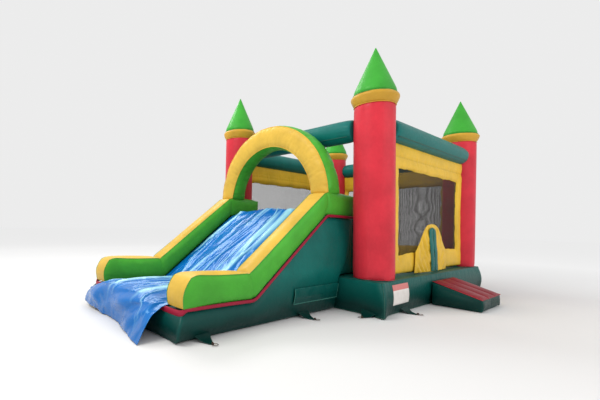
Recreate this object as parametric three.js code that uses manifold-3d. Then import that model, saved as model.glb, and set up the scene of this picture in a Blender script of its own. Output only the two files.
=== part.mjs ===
// An inflatable bounce house: a jumping room between four towers, with a slide on its left side.
// Millimetres, +Z up. The front left tower stands at the origin of the plan while the pieces are
// drawn, +X runs along the entrance side and +Y towards the rear. At the end the whole group is
// moved so that its origin is the middle of its footprint.
import Module from "manifold-3d";
import * as THREE from "three";
import { mergeVertices } from "three/addons/utils/BufferGeometryUtils.js";

const wasm = await Module();
wasm.setup();

// Fabric and fits
const GAP = 0.4;
const SKIN = 12;
const PORT_RADIUS = 60;
const WALL_PORT_RADIUS = 30;
const WELD = 1e-3;
const ROUND_SIDES = 16;
const PORT_SIDES = 12;

// Base and towers
const PITCH_X = 3600;
const PITCH_Y = 2880;
const BASE_HEIGHT = 500;
const BASE_MARGIN = 320;
const TOWER_RADIUS = 280;
const COLLAR_BOTTOM = 3050;
const COLLAR_TOP = 3210;
const COLLAR_RADIUS = 335;
const CONE_RADIUS = 300;
const CONE_TIP = 3930;
const MAT_THICKNESS = 10;
const MAT_CLEARANCE = 10;

// Beams, walls and nets
const BEAM_RADIUS = 190;
const BEAM_HEIGHT = 2730;
const BEAM_OFFSET = 80;
const WALL_HALF = 50;
const WALL_FACE = 130;
const WALL_TOP = 2640;
const FRONT_JAMB = 560;
const FAR_JAMB = 360;
const SILL = 865;
const WINDOW_TOP = 2170;
const NET_THICKNESS = 4;
const NET_DEPTH = 6;

// How far a cutting block runs past the faces that it cuts through
const THROUGH = 100;

// Entrance
const DOOR_CENTRE = PITCH_X / 2;
const DOORWAY_HALF = 330;
const FLAP_HALF = 400;
const FLAP_TOP = 1330;
const FLAP_SPRING = 900;
const FLAP_THICKNESS = 8;
const FLAP_FACE = -144;
const SLIT_HALF = 3;
const BINDING_THICKNESS = 5;
const BINDING_WIDTH = 107;
const BINDING_TOP = 1270;
const RAMP_WIDTH = 930;
const RAMP_REACH = 690;
const RAMP_BACK = 400;
const RAMP_FRONT = 178;
const PAD_THICKNESS = 10;

// Slide
const SLIDE_NEAR = 340;
const SLIDE_FAR = 2720;
const SLIDE_WALL = 320;
const SLIDE_FRONT = -3280;
const SLIDE_BEND = -2120;
const SLIDE_TOP = -620;
const TRIM_LOW = 334;
const DECK_HEIGHT = 1400;
const DECK_END = 150;
const CROWN = 90;
const WALL_RISE = 370;
const ARCH_RADIUS = 1010;
const ARCH_RISE = 1010;
const ARCH_BAND = 300;
const ARCH_DEPTH = 320;
const COVER_THICKNESS = 8;
const APRON_LEAN = 0.42;
const TRIM_HEIGHT = 30;
const TRIM_THICKNESS = 6;

// Small parts
const ZIP = { left: -1390, right: -350, top: 410, bottom: 200 };
const SLEEVE = { x: 2900, radius: 120, length: 560, neck: 22 };
const TAB = { root: 180, tip: 30, reach: 170, thickness: 6 };
const EYE = { radius: 12, bore: 8, half: 10, offset: 4 };
const RING_RADIUS = 34;
const RING_WIRE = 4;

const COLOUR = {
  red: 0xd13f4a,
  green: 0x51b04c,
  darkGreen: 0x14614f,
  teal: 0x1f6d60,
  yellow: 0xf0c23a,
  gold: 0xcb9d48,
  blue: 0x0a6fd0,
  trim: 0xa5283c,
  net: 0x3a3233,
  label: 0xe8e4e0,
  steel: 0x9a9a9c,
  webbing: 0x3d2b22,
};

const X = new THREE.Vector3(1, 0, 0);
const Y = new THREE.Vector3(0, 1, 0);
const Z = new THREE.Vector3(0, 0, 1);

// The three ways an outline is drawn out into a block: upwards, along +X and along +Y.
const PLAIN = { axis: new THREE.Matrix4(), flip: false };
const ALONG_X = {
  axis: new THREE.Matrix4().makeBasis(
    new THREE.Vector3(0, 1, 0),
    new THREE.Vector3(0, 0, 1),
    new THREE.Vector3(1, 0, 0),
  ),
  flip: false,
};
const ALONG_Y = { axis: new THREE.Matrix4().makeRotationX(Math.PI / 2), flip: true };

const house = new THREE.Group();

function addMesh(name, geometry, colour, roughness = 0.4) {
  const material = new THREE.MeshStandardMaterial({ color: colour, roughness, metalness: 0 });
  const mesh = new THREE.Mesh(geometry, material);
  mesh.name = name;
  house.add(mesh);
  return mesh;
}

// ---------------------------------------------------------------- solids

/** The closed solid of a geometry, with shared corners merged and collapsed faces left out. */
function solidOf(geometry) {
  geometry.deleteAttribute("normal");
  geometry.deleteAttribute("uv");
  const merged = mergeVertices(geometry, WELD);
  const index = merged.index.array;
  const faces = [];
  for (let i = 0; i < index.length; i += 3) {
    const [a, b, c] = index.slice(i, i + 3);
    if (a !== b && b !== c && c !== a) faces.push(a, b, c);
  }
  const vertProperties = merged.attributes.position.array;
  const triVerts = new Uint32Array(faces);
  return new wasm.Manifold(new wasm.Mesh({ numProp: 3, vertProperties, triVerts }));
}

function geometryOf(solid) {
  const mesh = solid.getMesh();
  const geometry = new THREE.BufferGeometry();
  geometry.setAttribute("position", new THREE.BufferAttribute(mesh.vertProperties, 3));
  geometry.setIndex(new THREE.BufferAttribute(mesh.triVerts, 1));
  geometry.computeVertexNormals();
  return geometry;
}

const corners = (pairs) => pairs.map(([x, y]) => new THREE.Vector2(x, y));

const rectangle = (x0, y0, x1, y1) => corners([[x0, y0], [x1, y0], [x1, y1], [x0, y1]]);

/** Moves every side of an anticlockwise outline inwards by a distance. */
function insetOutline(points, distance) {
  return points.map((point, i) => {
    const before = point.clone().sub(points.at(i - 1)).normalize();
    const after = points[(i + 1) % points.length].clone().sub(point).normalize();
    const normals = new THREE.Vector2(-before.y - after.y, before.x + after.x);
    return point.clone().addScaledVector(normals, distance / (1 + before.dot(after)));
  });
}

/** A shape whose corners are rounded by a radius, or left sharp where it is 0. */
function roundedShape(points, radius) {
  const shape = new THREE.Shape();
  points.forEach((point, i) => {
    const before = points.at(i - 1).clone().sub(point);
    const after = points[(i + 1) % points.length].clone().sub(point);
    const reach = Math.min(radius, before.length() / 2.1, after.length() / 2.1);
    const start = before.setLength(reach).add(point);
    const end = after.setLength(reach).add(point);
    if (i) shape.lineTo(start.x, start.y);
    else shape.moveTo(start.x, start.y);
    if (radius) shape.quadraticCurveTo(point.x, point.y, end.x, end.y);
  });
  shape.closePath();
  return shape;
}

/**
 * A block drawn along an axis from an outline. It returns a function of an inset, which moves every
 * face of the block inwards, so that one block gives both the skin and the air space inside it.
 */
function block(way, outline, from, to, { round = 0, rim = 0 } = {}) {
  return (inset) => {
    const edge = rim ? Math.max(rim - inset, 1) : 0;
    const shape = roundedShape(insetOutline(outline, inset + edge), Math.max(round - inset, 0));
    const depth = to - from - 2 * (inset + edge);
    const geometry = new THREE.ExtrudeGeometry(shape, {
      depth,
      curveSegments: 3,
      bevelEnabled: rim > 0,
      bevelThickness: edge,
      bevelSize: edge,
      bevelSegments: 2,
    });
    const start = way.flip ? -to : from;
    geometry.translate(0, 0, start + inset + edge);
    geometry.applyMatrix4(way.axis);
    return solidOf(geometry);
  };
}

/** A straight round bar from one point to another. */
function rod(from, to, radius, sides = ROUND_SIDES) {
  const run = to.clone().sub(from);
  const geometry = new THREE.CylinderGeometry(radius, radius, run.length(), sides);
  geometry.applyQuaternion(new THREE.Quaternion().setFromUnitVectors(Y, run.normalize()));
  geometry.translate(...from.clone().add(to).multiplyScalar(0.5).toArray());
  return solidOf(geometry);
}

/** A solid of revolution about a vertical line, from a profile of radius and height. */
function turned(profile) {
  const geometry = new THREE.LatheGeometry(corners(profile), ROUND_SIDES);
  geometry.rotateX(Math.PI / 2);
  return geometry;
}

/** The air port of a chamber: a short round hole through its skin. */
function port(x, y, z, direction, radius = PORT_RADIUS) {
  const reach = direction.clone().multiplyScalar(2 * SKIN);
  const centre = new THREE.Vector3(x, y, z);
  return rod(centre.clone().sub(reach), centre.add(reach), radius, PORT_SIDES);
}

/** An air chamber: a skin of fabric around the air inside, opened by its port. */
const chamber = (form, hole) => geometryOf(form(0).subtract(form(SKIN)).subtract(hole));

// ---------------------------------------------------------------- towers

const TOWERS = [
  { name: "front_left", x: 0, y: 0 },
  { name: "front_right", x: PITCH_X, y: 0 },
  { name: "rear_left", x: 0, y: PITCH_Y },
  { name: "rear_right", x: PITCH_X, y: PITCH_Y },
];

/** The space that a tower takes, grown by a distance, for cutting its neighbours. */
const towerSpace = (tower, grow) =>
  rod(
    new THREE.Vector3(tower.x, tower.y, 0),
    new THREE.Vector3(tower.x, tower.y, CONE_TIP),
    TOWER_RADIUS / Math.cos(Math.PI / ROUND_SIDES) + GAP + grow,
  );

const clearOfTowers = (solid, grow) =>
  TOWERS.reduce((left, tower) => left.subtract(towerSpace(tower, grow)), solid);

function towerGeometry() {
  const low = BASE_HEIGHT + GAP;
  const high = COLLAR_BOTTOM - GAP;
  const soft = 40;
  return turned([
    [PORT_RADIUS, low],
    [TOWER_RADIUS - soft, low],
    [TOWER_RADIUS, low + soft],
    [TOWER_RADIUS, high],
    [PORT_RADIUS, high],
    [PORT_RADIUS, high - SKIN],
    [TOWER_RADIUS - SKIN, high - SKIN],
    [TOWER_RADIUS - SKIN, low + soft + SKIN / 2],
    [TOWER_RADIUS - soft - SKIN / 2, low + SKIN],
    [PORT_RADIUS, low + SKIN],
    [PORT_RADIUS, low],
  ]);
}

function collarGeometry() {
  const flare = 45;
  const inner = COLLAR_RADIUS - SKIN;
  return turned([
    [PORT_RADIUS, COLLAR_BOTTOM],
    [TOWER_RADIUS, COLLAR_BOTTOM],
    [COLLAR_RADIUS, COLLAR_BOTTOM + flare],
    [COLLAR_RADIUS, COLLAR_TOP - flare],
    [CONE_RADIUS, COLLAR_TOP],
    [PORT_RADIUS, COLLAR_TOP],
    [PORT_RADIUS, COLLAR_TOP - SKIN],
    [CONE_RADIUS - SKIN / 2, COLLAR_TOP - SKIN],
    [inner, COLLAR_TOP - flare - SKIN / 2],
    [inner, COLLAR_BOTTOM + flare + SKIN / 2],
    [TOWER_RADIUS - SKIN / 2, COLLAR_BOTTOM + SKIN],
    [PORT_RADIUS, COLLAR_BOTTOM + SKIN],
    [PORT_RADIUS, COLLAR_BOTTOM],
  ]);
}

function coneGeometry() {
  const low = COLLAR_TOP + GAP;
  const slope = (CONE_TIP - low) / CONE_RADIUS;
  const innerRadius = CONE_RADIUS - SKIN - SKIN / slope;
  return turned([
    [0, low + SKIN + innerRadius * slope],
    [innerRadius, low + SKIN],
    [PORT_RADIUS, low + SKIN],
    [PORT_RADIUS, low],
    [CONE_RADIUS, low],
    [0, CONE_TIP],
  ]);
}

for (const { name, x, y } of TOWERS) {
  addMesh(`tower_${name}`, towerGeometry(), COLOUR.red).position.set(x, y, 0);
  addMesh(`collar_${name}`, collarGeometry(), COLOUR.gold).position.set(x, y, 0);
  addMesh(`cone_${name}`, coneGeometry(), COLOUR.green).position.set(x, y, 0);
}

// ---------------------------------------------------------------- base

const BASE = {
  left: -BASE_MARGIN,
  right: PITCH_X + BASE_MARGIN,
  front: -BASE_MARGIN,
  rear: PITCH_Y + BASE_MARGIN,
};
const SLEEVE_HEIGHT = SLEEVE.radius + 6;

function baseGeometry() {
  const outline = rectangle(BASE.left, BASE.front, BASE.right, BASE.rear);
  const form = block(PLAIN, outline, 0, BASE_HEIGHT, { round: 120, rim: 60 });
  const inlet = rod(
    new THREE.Vector3(SLEEVE.x, BASE.rear - 3 * SKIN, SLEEVE_HEIGHT),
    new THREE.Vector3(SLEEVE.x, BASE.rear + 3 * SKIN, SLEEVE_HEIGHT),
    SLEEVE.radius - 2 * SKIN,
  );
  return chamber(form, inlet);
}
addMesh("base_chamber", baseGeometry(), COLOUR.darkGreen);

/** An upright web inside the base that keeps its top flat, with round holes that let air through. */
function baffleGeometry(x) {
  const inside = 80;
  const holeRadius = 90;
  const web = block(
    ALONG_X,
    rectangle(BASE.front + inside, SKIN + GAP, BASE.rear - inside, BASE_HEIGHT - SKIN - GAP),
    x - SKIN / 2,
    x + SKIN / 2,
  )(0);
  const holes = 3;
  let solid = web;
  for (let i = 1; i <= holes; i += 1) {
    const y = BASE.front + ((BASE.rear - BASE.front) * i) / (holes + 1);
    const start = new THREE.Vector3(x - SKIN, y, BASE_HEIGHT / 2);
    const end = new THREE.Vector3(x + SKIN, y, BASE_HEIGHT / 2);
    solid = solid.subtract(rod(start, end, holeRadius, PORT_SIDES));
  }
  return geometryOf(solid);
}
addMesh("base_baffle_left", baffleGeometry(PITCH_X / 3), COLOUR.darkGreen);
addMesh("base_baffle_right", baffleGeometry((2 * PITCH_X) / 3), COLOUR.darkGreen);

const STEPS_END = 1150;

function jumpMatGeometry() {
  const reach = WALL_FACE - 2 * WALL_HALF - MAT_CLEARANCE;
  const mat = block(
    PLAIN,
    rectangle(STEPS_END + MAT_CLEARANCE, -reach, PITCH_X + reach, PITCH_Y + reach),
    BASE_HEIGHT + GAP,
    BASE_HEIGHT + GAP + MAT_THICKNESS,
  )(0);
  return geometryOf(clearOfTowers(mat, 0));
}
addMesh("jump_mat", jumpMatGeometry(), COLOUR.teal);

// ---------------------------------------------------------------- beams, walls and nets

/** The axis of each top beam, on the outer side of the line between its two towers. */
const BEAMS = {
  front: { from: [0, -BEAM_OFFSET], to: [PITCH_X, -BEAM_OFFSET] },
  rear: { from: [0, PITCH_Y + BEAM_OFFSET], to: [PITCH_X, PITCH_Y + BEAM_OFFSET] },
  left: { from: [-BEAM_OFFSET, 0], to: [-BEAM_OFFSET, PITCH_Y] },
  right: { from: [PITCH_X + BEAM_OFFSET, 0], to: [PITCH_X + BEAM_OFFSET, PITCH_Y] },
};

const beamBar = ({ from, to }, radius) =>
  rod(new THREE.Vector3(...from, BEAM_HEIGHT), new THREE.Vector3(...to, BEAM_HEIGHT), radius);

for (const [side, beam] of Object.entries(BEAMS)) {
  const form = (inset) => clearOfTowers(beamBar(beam, BEAM_RADIUS - inset), inset);
  addMesh(`beam_${side}`, chamber(form, beamBar(beam, PORT_RADIUS)), COLOUR.teal);
}

/**
 * A wall chamber between two towers, with a window, and whatever else is cut from it. Its outer face
 * is WALL_FACE outside the line between the towers, so that it hangs under the middle of its beam.
 */
function wallGeometry({ way, length, line, outward, jamb }, beam, cuts = []) {
  const middle = line + outward * (WALL_FACE - WALL_HALF);
  const low = middle - WALL_HALF;
  const high = middle + WALL_HALF;
  const panel = block(way, rectangle(0, BASE_HEIGHT + GAP, length, WALL_TOP), low, high);
  const window = block(way, rectangle(jamb, SILL, length - jamb, WINDOW_TOP), low - THROUGH, high + THROUGH);
  const form = (inset) => {
    const framed = panel(inset).subtract(window(-inset)).subtract(beamBar(beam, BEAM_RADIUS + GAP + inset));
    const opened = cuts.reduce((left, cut) => left.subtract(cut(-inset)), framed);
    return clearOfTowers(opened, inset);
  };
  const foot = length / 4;
  const [x, y] = way === ALONG_Y ? [foot, middle] : [middle, foot];
  const hole = port(x, y, BASE_HEIGHT, Z, WALL_PORT_RADIUS);
  return chamber(form, hole);
}

const doorway = block(
  ALONG_Y,
  rectangle(
    DOOR_CENTRE - DOORWAY_HALF,
    BASE_HEIGHT - THROUGH,
    DOOR_CENTRE + DOORWAY_HALF,
    SILL + THROUGH,
  ),
  -WALL_FACE - THROUGH,
  THROUGH,
);

/** The three closed sides: the line between the towers, the way out and the width of the jambs. */
const SIDES = {
  front: { way: ALONG_Y, length: PITCH_X, line: 0, outward: -1, jamb: FRONT_JAMB },
  rear: { way: ALONG_Y, length: PITCH_X, line: PITCH_Y, outward: 1, jamb: FAR_JAMB },
  right: { way: ALONG_X, length: PITCH_Y, line: PITCH_X, outward: 1, jamb: FAR_JAMB },
};
addMesh("wall_front", wallGeometry(SIDES.front, BEAMS.front, [doorway]), COLOUR.yellow);
addMesh("wall_rear", wallGeometry(SIDES.rear, BEAMS.rear), COLOUR.yellow);
addMesh("wall_right", wallGeometry(SIDES.right, BEAMS.right), COLOUR.yellow);

/** The outline of a doorway or flap: straight sides with a half ellipse on top. */
function archOutline(half, bottom, spring, top) {
  const steps = 10;
  const points = [[DOOR_CENTRE - half, bottom], [DOOR_CENTRE + half, bottom]];
  for (let i = 0; i <= steps; i += 1) {
    const angle = (Math.PI * i) / steps;
    points.push([DOOR_CENTRE + half * Math.cos(angle), spring + (top - spring) * Math.sin(angle)]);
  }
  return corners(points);
}

/** A window net, whose outer face is a little inside the outer face of its wall. */
function netForm({ way, length, line, outward, jamb }) {
  const from = line + outward * (WALL_FACE - NET_DEPTH);
  const to = from - outward * NET_THICKNESS;
  return block(
    way,
    rectangle(jamb + GAP, SILL + GAP, length - jamb - GAP, WINDOW_TOP - GAP),
    Math.min(from, to),
    Math.max(from, to),
  )(0);
}

const doorCut = block(
  ALONG_Y,
  archOutline(DOORWAY_HALF, SILL - THROUGH, FLAP_SPRING, FLAP_TOP - FLAP_HALF + DOORWAY_HALF),
  -WALL_FACE - THROUGH,
  0,
)(0);

addMesh("net_front", geometryOf(netForm(SIDES.front).subtract(doorCut)), COLOUR.net, 0.8);
addMesh("net_rear", geometryOf(netForm(SIDES.rear)), COLOUR.net, 0.8);
addMesh("net_right", geometryOf(netForm(SIDES.right)), COLOUR.net, 0.8);

// ---------------------------------------------------------------- entrance

/** One half of the entrance curtain, from its outer edge to the slit. */
function flapGeometry(side) {
  const whole = block(
    ALONG_Y,
    archOutline(FLAP_HALF, BASE_HEIGHT + 10, FLAP_SPRING, FLAP_TOP),
    FLAP_FACE - FLAP_THICKNESS,
    FLAP_FACE,
  )(0);
  const near = DOOR_CENTRE + side * SLIT_HALF;
  const far = DOOR_CENTRE + side * 2 * FLAP_HALF;
  const plan = rectangle(Math.min(near, far), 2 * FLAP_FACE, Math.max(near, far), 0);
  const half = block(PLAIN, plan, 0, CONE_TIP)(0);
  return geometryOf(whole.intersect(half));
}

/** The fabric binding along the free edge of a flap. */
function bindingGeometry(side) {
  const rise = 15;
  const near = DOOR_CENTRE + side * SLIT_HALF;
  const far = near + side * BINDING_WIDTH;
  const face = FLAP_FACE - FLAP_THICKNESS - GAP;
  const strip = block(
    ALONG_Y,
    rectangle(Math.min(near, far), BASE_HEIGHT + rise, Math.max(near, far), BINDING_TOP),
    face - BINDING_THICKNESS,
    face,
  );
  return geometryOf(strip(0));
}

for (const [name, side] of [["left", -1], ["right", 1]]) {
  addMesh(`door_flap_${name}`, flapGeometry(side), COLOUR.yellow);
  addMesh(`door_binding_${name}`, bindingGeometry(side), COLOUR.teal);
}

const RAMP = {
  left: DOOR_CENTRE - RAMP_WIDTH / 2,
  right: DOOR_CENTRE + RAMP_WIDTH / 2,
  back: BASE.front - GAP,
  front: BASE.front - GAP - RAMP_REACH,
};

function rampGeometry() {
  const outline = corners([
    [RAMP.front, 0],
    [RAMP.back, 0],
    [RAMP.back, RAMP_BACK],
    [RAMP.front, RAMP_FRONT],
  ]);
  const form = block(ALONG_X, outline, RAMP.left, RAMP.right, { round: 30, rim: 25 });
  return chamber(form, port(DOOR_CENTRE, RAMP.back, RAMP_FRONT, Y));
}
addMesh("ramp_chamber", rampGeometry(), COLOUR.darkGreen);

function rampPadGeometry() {
  const margin = 30;
  const slope = (RAMP_BACK - RAMP_FRONT) / RAMP_REACH;
  const top = (y) => RAMP_FRONT + (y - RAMP.front) * slope + 2 * GAP;
  const front = RAMP.front + margin;
  const back = RAMP.back - margin;
  const outline = corners([
    [front, top(front)],
    [back, top(back)],
    [back, top(back) + PAD_THICKNESS],
    [front, top(front) + PAD_THICKNESS],
  ]);
  return geometryOf(block(ALONG_X, outline, RAMP.left + margin, RAMP.right - margin)(0));
}
addMesh("ramp_pad", rampPadGeometry(), COLOUR.red);

const LABEL = { left: 0, right: 520, bottom: 140, top: 430, thickness: 4, round: 20 };
const labelForm = block(
  ALONG_Y,
  rectangle(LABEL.left, LABEL.bottom, LABEL.right, LABEL.top),
  BASE.front - GAP - LABEL.thickness,
  BASE.front - GAP,
  { round: LABEL.round },
);
addMesh("care_label", geometryOf(labelForm(0)), COLOUR.label);

// ---------------------------------------------------------------- slide body

const SLOPE_ANGLE = Math.atan2(DECK_HEIGHT - TRIM_LOW, SLIDE_TOP - SLIDE_BEND);
const BED = { near: SLIDE_NEAR + SLIDE_WALL, far: SLIDE_FAR - SLIDE_WALL };

/** A cross-section of the slide: upright sides and a bed that is crowned between the side walls. */
function crownedSection(bottom, top) {
  const steps = 6;
  const points = [[SLIDE_NEAR, bottom], [SLIDE_FAR, bottom], [SLIDE_FAR, top]];
  for (let i = 0; i <= steps; i += 1) {
    const along = i / steps;
    const rise = CROWN * (1 - (2 * along - 1) ** 2);
    points.push([BED.far + (BED.near - BED.far) * along, top + rise]);
  }
  points.push([SLIDE_NEAR, top]);
  return corners(points);
}

const runForm = block(ALONG_X, crownedSection(0, TRIM_LOW), SLIDE_FRONT, SLIDE_BEND - GAP);
const deckForm = block(ALONG_X, crownedSection(0, DECK_HEIGHT), SLIDE_TOP + GAP, BASE.left - GAP);

/** The sloping chamber: the crowned section laid along the slope and cut off upright at both ends. */
function slopeForm(inset) {
  const overrun = 1500;
  const length = Math.hypot(SLIDE_TOP - SLIDE_BEND, DECK_HEIGHT - TRIM_LOW);
  const sloping = block(ALONG_X, crownedSection(-overrun, 0), -overrun, length + overrun)(inset)
    .rotate([0, (-SLOPE_ANGLE * 180) / Math.PI, 0])
    .translate([SLIDE_BEND, 0, TRIM_LOW]);
  const bounds = block(
    ALONG_Y,
    rectangle(SLIDE_BEND, 0, SLIDE_TOP, 2 * DECK_HEIGHT),
    SLIDE_NEAR - overrun,
    SLIDE_FAR + overrun,
  );
  return sloping.intersect(bounds(inset));
}

const SLIDE_MIDDLE = (SLIDE_NEAR + SLIDE_FAR) / 2;
const PORT_HEIGHT = TRIM_LOW / 2;

addMesh(
  "slide_front_chamber",
  chamber(runForm, port(SLIDE_BEND, SLIDE_MIDDLE, PORT_HEIGHT, X)),
  COLOUR.darkGreen,
);
addMesh(
  "slide_slope_chamber",
  chamber(slopeForm, port(SLIDE_TOP, SLIDE_MIDDLE, PORT_HEIGHT, X)),
  COLOUR.darkGreen,
);
addMesh(
  "slide_deck_chamber",
  chamber(deckForm, port(BASE.left, SLIDE_MIDDLE, PORT_HEIGHT, X)),
  COLOUR.darkGreen,
);

const STAIR_WIDTH = 2200;

/** The inflated stair inside the room, from the jump mat up to the slide's deck. */
function stairGeometry() {
  const treads = 4;
  const low = BASE_HEIGHT + GAP;
  const rise = (DECK_HEIGHT - low) / treads;
  const run = (STEPS_END - DECK_END) / treads;
  const points = [[BASE.left, low], [STEPS_END, low]];
  for (let i = 0; i < treads; i += 1) {
    const x = STEPS_END - run * i;
    points.push([x, low + rise * (i + 1)]);
    points.push([x - run, low + rise * (i + 1)]);
  }
  points.pop();
  points.push([BASE.left, DECK_HEIGHT]);
  const form = block(ALONG_Y, corners(points), SLIDE_NEAR + GAP, SLIDE_NEAR + STAIR_WIDTH);
  return chamber(form, port(DECK_END, SLIDE_MIDDLE, low, Z));
}
addMesh("climbing_stair", stairGeometry(), COLOUR.darkGreen);

// ---------------------------------------------------------------- slide walls

const WALL_BEND = SLIDE_BEND - 80;
const SLOPE_PORT_RISE = 115;
const NOSE_REACH = 150;
const NOSE_DROP = 140;
const RUN_TOP = TRIM_LOW + WALL_RISE;
const DECK_TOP = DECK_HEIGHT + WALL_RISE;

const WALL_OUTLINES = {
  run: corners([
    [SLIDE_FRONT, TRIM_LOW + GAP],
    [SLIDE_BEND - GAP, TRIM_LOW + GAP],
    [WALL_BEND - GAP, RUN_TOP],
    [SLIDE_FRONT + NOSE_REACH, RUN_TOP],
    [SLIDE_FRONT, RUN_TOP - NOSE_DROP],
  ]),
  slope: corners([
    [SLIDE_BEND + GAP, TRIM_LOW + 2 * GAP],
    [SLIDE_TOP - GAP, DECK_HEIGHT + 2 * GAP],
    [SLIDE_TOP - GAP, DECK_TOP],
    [WALL_BEND + GAP, RUN_TOP],
  ]),
  deck: corners([
    [SLIDE_TOP + GAP, DECK_HEIGHT + GAP],
    [DECK_END, DECK_HEIGHT + GAP],
    [DECK_END, DECK_TOP],
    [SLIDE_TOP + GAP, DECK_TOP],
  ]),
};

for (const [side, near] of [["near", SLIDE_NEAR], ["far", SLIDE_FAR - SLIDE_WALL]]) {
  for (const [piece, outline] of Object.entries(WALL_OUTLINES)) {
    const solid = block(ALONG_Y, outline, near, near + SLIDE_WALL - 2 * GAP);
    const form = (inset) => clearOfTowers(solid(inset), inset);
    const middle = outline[0].x + SLIDE_WALL / 2;
    const foot = outline[0].y + (piece === "slope" ? SLOPE_PORT_RISE : 0);
    const air = port(middle, near + SLIDE_WALL / 2, foot, Z);
    addMesh(`slide_wall_${side}_${piece}`, chamber(form, air), COLOUR.green);
  }
}

/** The arch over the top of the slide: a hollow band swept over a half ellipse, open at its feet. */
function archGeometry() {
  class ArchPath extends THREE.Curve {
    getPoint(t) {
      const angle = Math.PI * t;
      return new THREE.Vector3(
        SLIDE_TOP + ARCH_DEPTH / 2,
        SLIDE_MIDDLE - ARCH_RADIUS * Math.cos(angle),
        DECK_TOP + GAP + ARCH_RISE * Math.sin(angle),
      );
    }
  }
  const outerRound = 80;
  const innerRound = 70;
  const outer = rectangle(-ARCH_DEPTH / 2, -ARCH_BAND / 2, ARCH_DEPTH / 2, ARCH_BAND / 2);
  const section = roundedShape(outer, outerRound);
  section.holes.push(roundedShape(insetOutline(outer, SKIN), innerRound));
  return new THREE.ExtrudeGeometry(section, {
    steps: 16,
    curveSegments: 2,
    extrudePath: new ArchPath(),
  });
}
addMesh("slide_arch", archGeometry(), COLOUR.yellow);

/** The trim that runs under both side walls and across the front of the slide, in one length. */
function trimGeometry() {
  const half = TRIM_HEIGHT / 2;
  const line = [
    [SLIDE_FRONT - TRIM_THICKNESS, TRIM_LOW],
    [SLIDE_BEND, TRIM_LOW],
    [SLIDE_TOP, DECK_HEIGHT],
    [BASE.left - GAP, DECK_HEIGHT],
  ];
  const lower = line.map(([x, z]) => [x, z - half]);
  const upper = line.map(([x, z]) => [x, z + half]).reverse();
  const band = corners([...lower, ...upper]);
  const nearFace = SLIDE_NEAR - GAP;
  const farFace = SLIDE_FAR + GAP;
  const near = block(ALONG_Y, band, nearFace - TRIM_THICKNESS, nearFace)(0);
  const far = block(ALONG_Y, band, farFace, farFace + TRIM_THICKNESS)(0);
  const across = block(
    ALONG_X,
    rectangle(nearFace - TRIM_THICKNESS, TRIM_LOW - half, farFace + TRIM_THICKNESS, TRIM_LOW + half),
    SLIDE_FRONT - TRIM_THICKNESS,
    SLIDE_FRONT - GAP,
  )(0);
  return geometryOf(near.add(across).add(far));
}
addMesh("slide_trim", trimGeometry(), COLOUR.trim);

// ---------------------------------------------------------------- slide cover

/** The loose cover over the bed of the slide, from the deck to the front lip. */
function coverGeometry() {
  const bed = (grow) => runForm(-grow).add(slopeForm(-grow)).add(deckForm(-grow));
  const sheet = bed(GAP + COVER_THICKNESS).subtract(bed(GAP));
  const edge = 3;
  const reach = block(
    PLAIN,
    rectangle(SLIDE_FRONT, BED.near + edge, BASE.left - GAP, BED.far - edge),
    TRIM_LOW,
    2 * DECK_HEIGHT,
  )(0);
  return geometryOf(sheet.intersect(reach));
}
addMesh("slide_cover", coverGeometry(), COLOUR.blue, 0.25);

/** The end of the cover that hangs over the front lip, longer on its near side, with a pointed tip. */
function apronGeometry() {
  const margin = 20;
  const fold = -10;
  const tip = { side: 330, drop: -395 };
  const hem = { start: 110, startDrop: -360, middle: 900, middleDrop: -330, endDrop: -320 };
  const outline = corners([
    [BED.near + margin, fold],
    [BED.near + hem.start, hem.startDrop],
    [BED.near + tip.side, tip.drop],
    [BED.near + hem.middle, hem.middleDrop],
    [BED.far - margin, hem.endDrop],
    [BED.far - margin, fold],
  ]);
  const sheet = block(ALONG_X, outline, -COVER_THICKNESS, 0)(0);
  const lean = (APRON_LEAN * 180) / Math.PI;
  return geometryOf(
    sheet.rotate([0, lean, 0]).translate([SLIDE_FRONT - 2 * TRIM_THICKNESS, 0, TRIM_LOW + TRIM_HEIGHT]),
  );
}
addMesh("cover_apron", apronGeometry(), COLOUR.blue, 0.25);

// ---------------------------------------------------------------- zip in the side of the slide

const TAPE_FACE = SLIDE_NEAR - GAP;
const TAPE = { margin: 40, bottom: ZIP.bottom + 90, top: ZIP.bottom + 120, thickness: 4 };
const PULL = { start: 10, length: 36, inset: 2, thickness: 8, round: 6 };
const COVER_FLAP = { clearance: 14, thickness: 6, round: 20 };

const tapeForm = block(
  ALONG_Y,
  rectangle(ZIP.left + TAPE.margin, TAPE.bottom, ZIP.right - TAPE.margin, TAPE.top),
  TAPE_FACE - TAPE.thickness,
  TAPE_FACE,
);
addMesh("zip_tape", geometryOf(tapeForm(0)), COLOUR.net, 0.7);

const pullStart = ZIP.left + TAPE.margin + PULL.start;
const sliderForm = block(
  ALONG_Y,
  rectangle(pullStart, TAPE.bottom + PULL.inset, pullStart + PULL.length, TAPE.top - PULL.inset),
  TAPE_FACE - TAPE.thickness - PULL.thickness,
  TAPE_FACE - TAPE.thickness - GAP,
  { round: PULL.round },
);
addMesh("zip_slider", geometryOf(sliderForm(0)), COLOUR.steel, 0.3);

const flapForm = block(
  ALONG_Y,
  rectangle(ZIP.left, ZIP.bottom, ZIP.right, ZIP.top),
  TAPE_FACE - COVER_FLAP.clearance - COVER_FLAP.thickness,
  TAPE_FACE - COVER_FLAP.clearance,
  { round: COVER_FLAP.round },
);
addMesh("zip_cover_flap", geometryOf(flapForm(0)), COLOUR.teal);

// ---------------------------------------------------------------- blower sleeve

const SLEEVE_START = BASE.rear + SLEEVE.neck;
const STRAP = { start: 60, width: 40, thickness: 4 };

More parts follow.
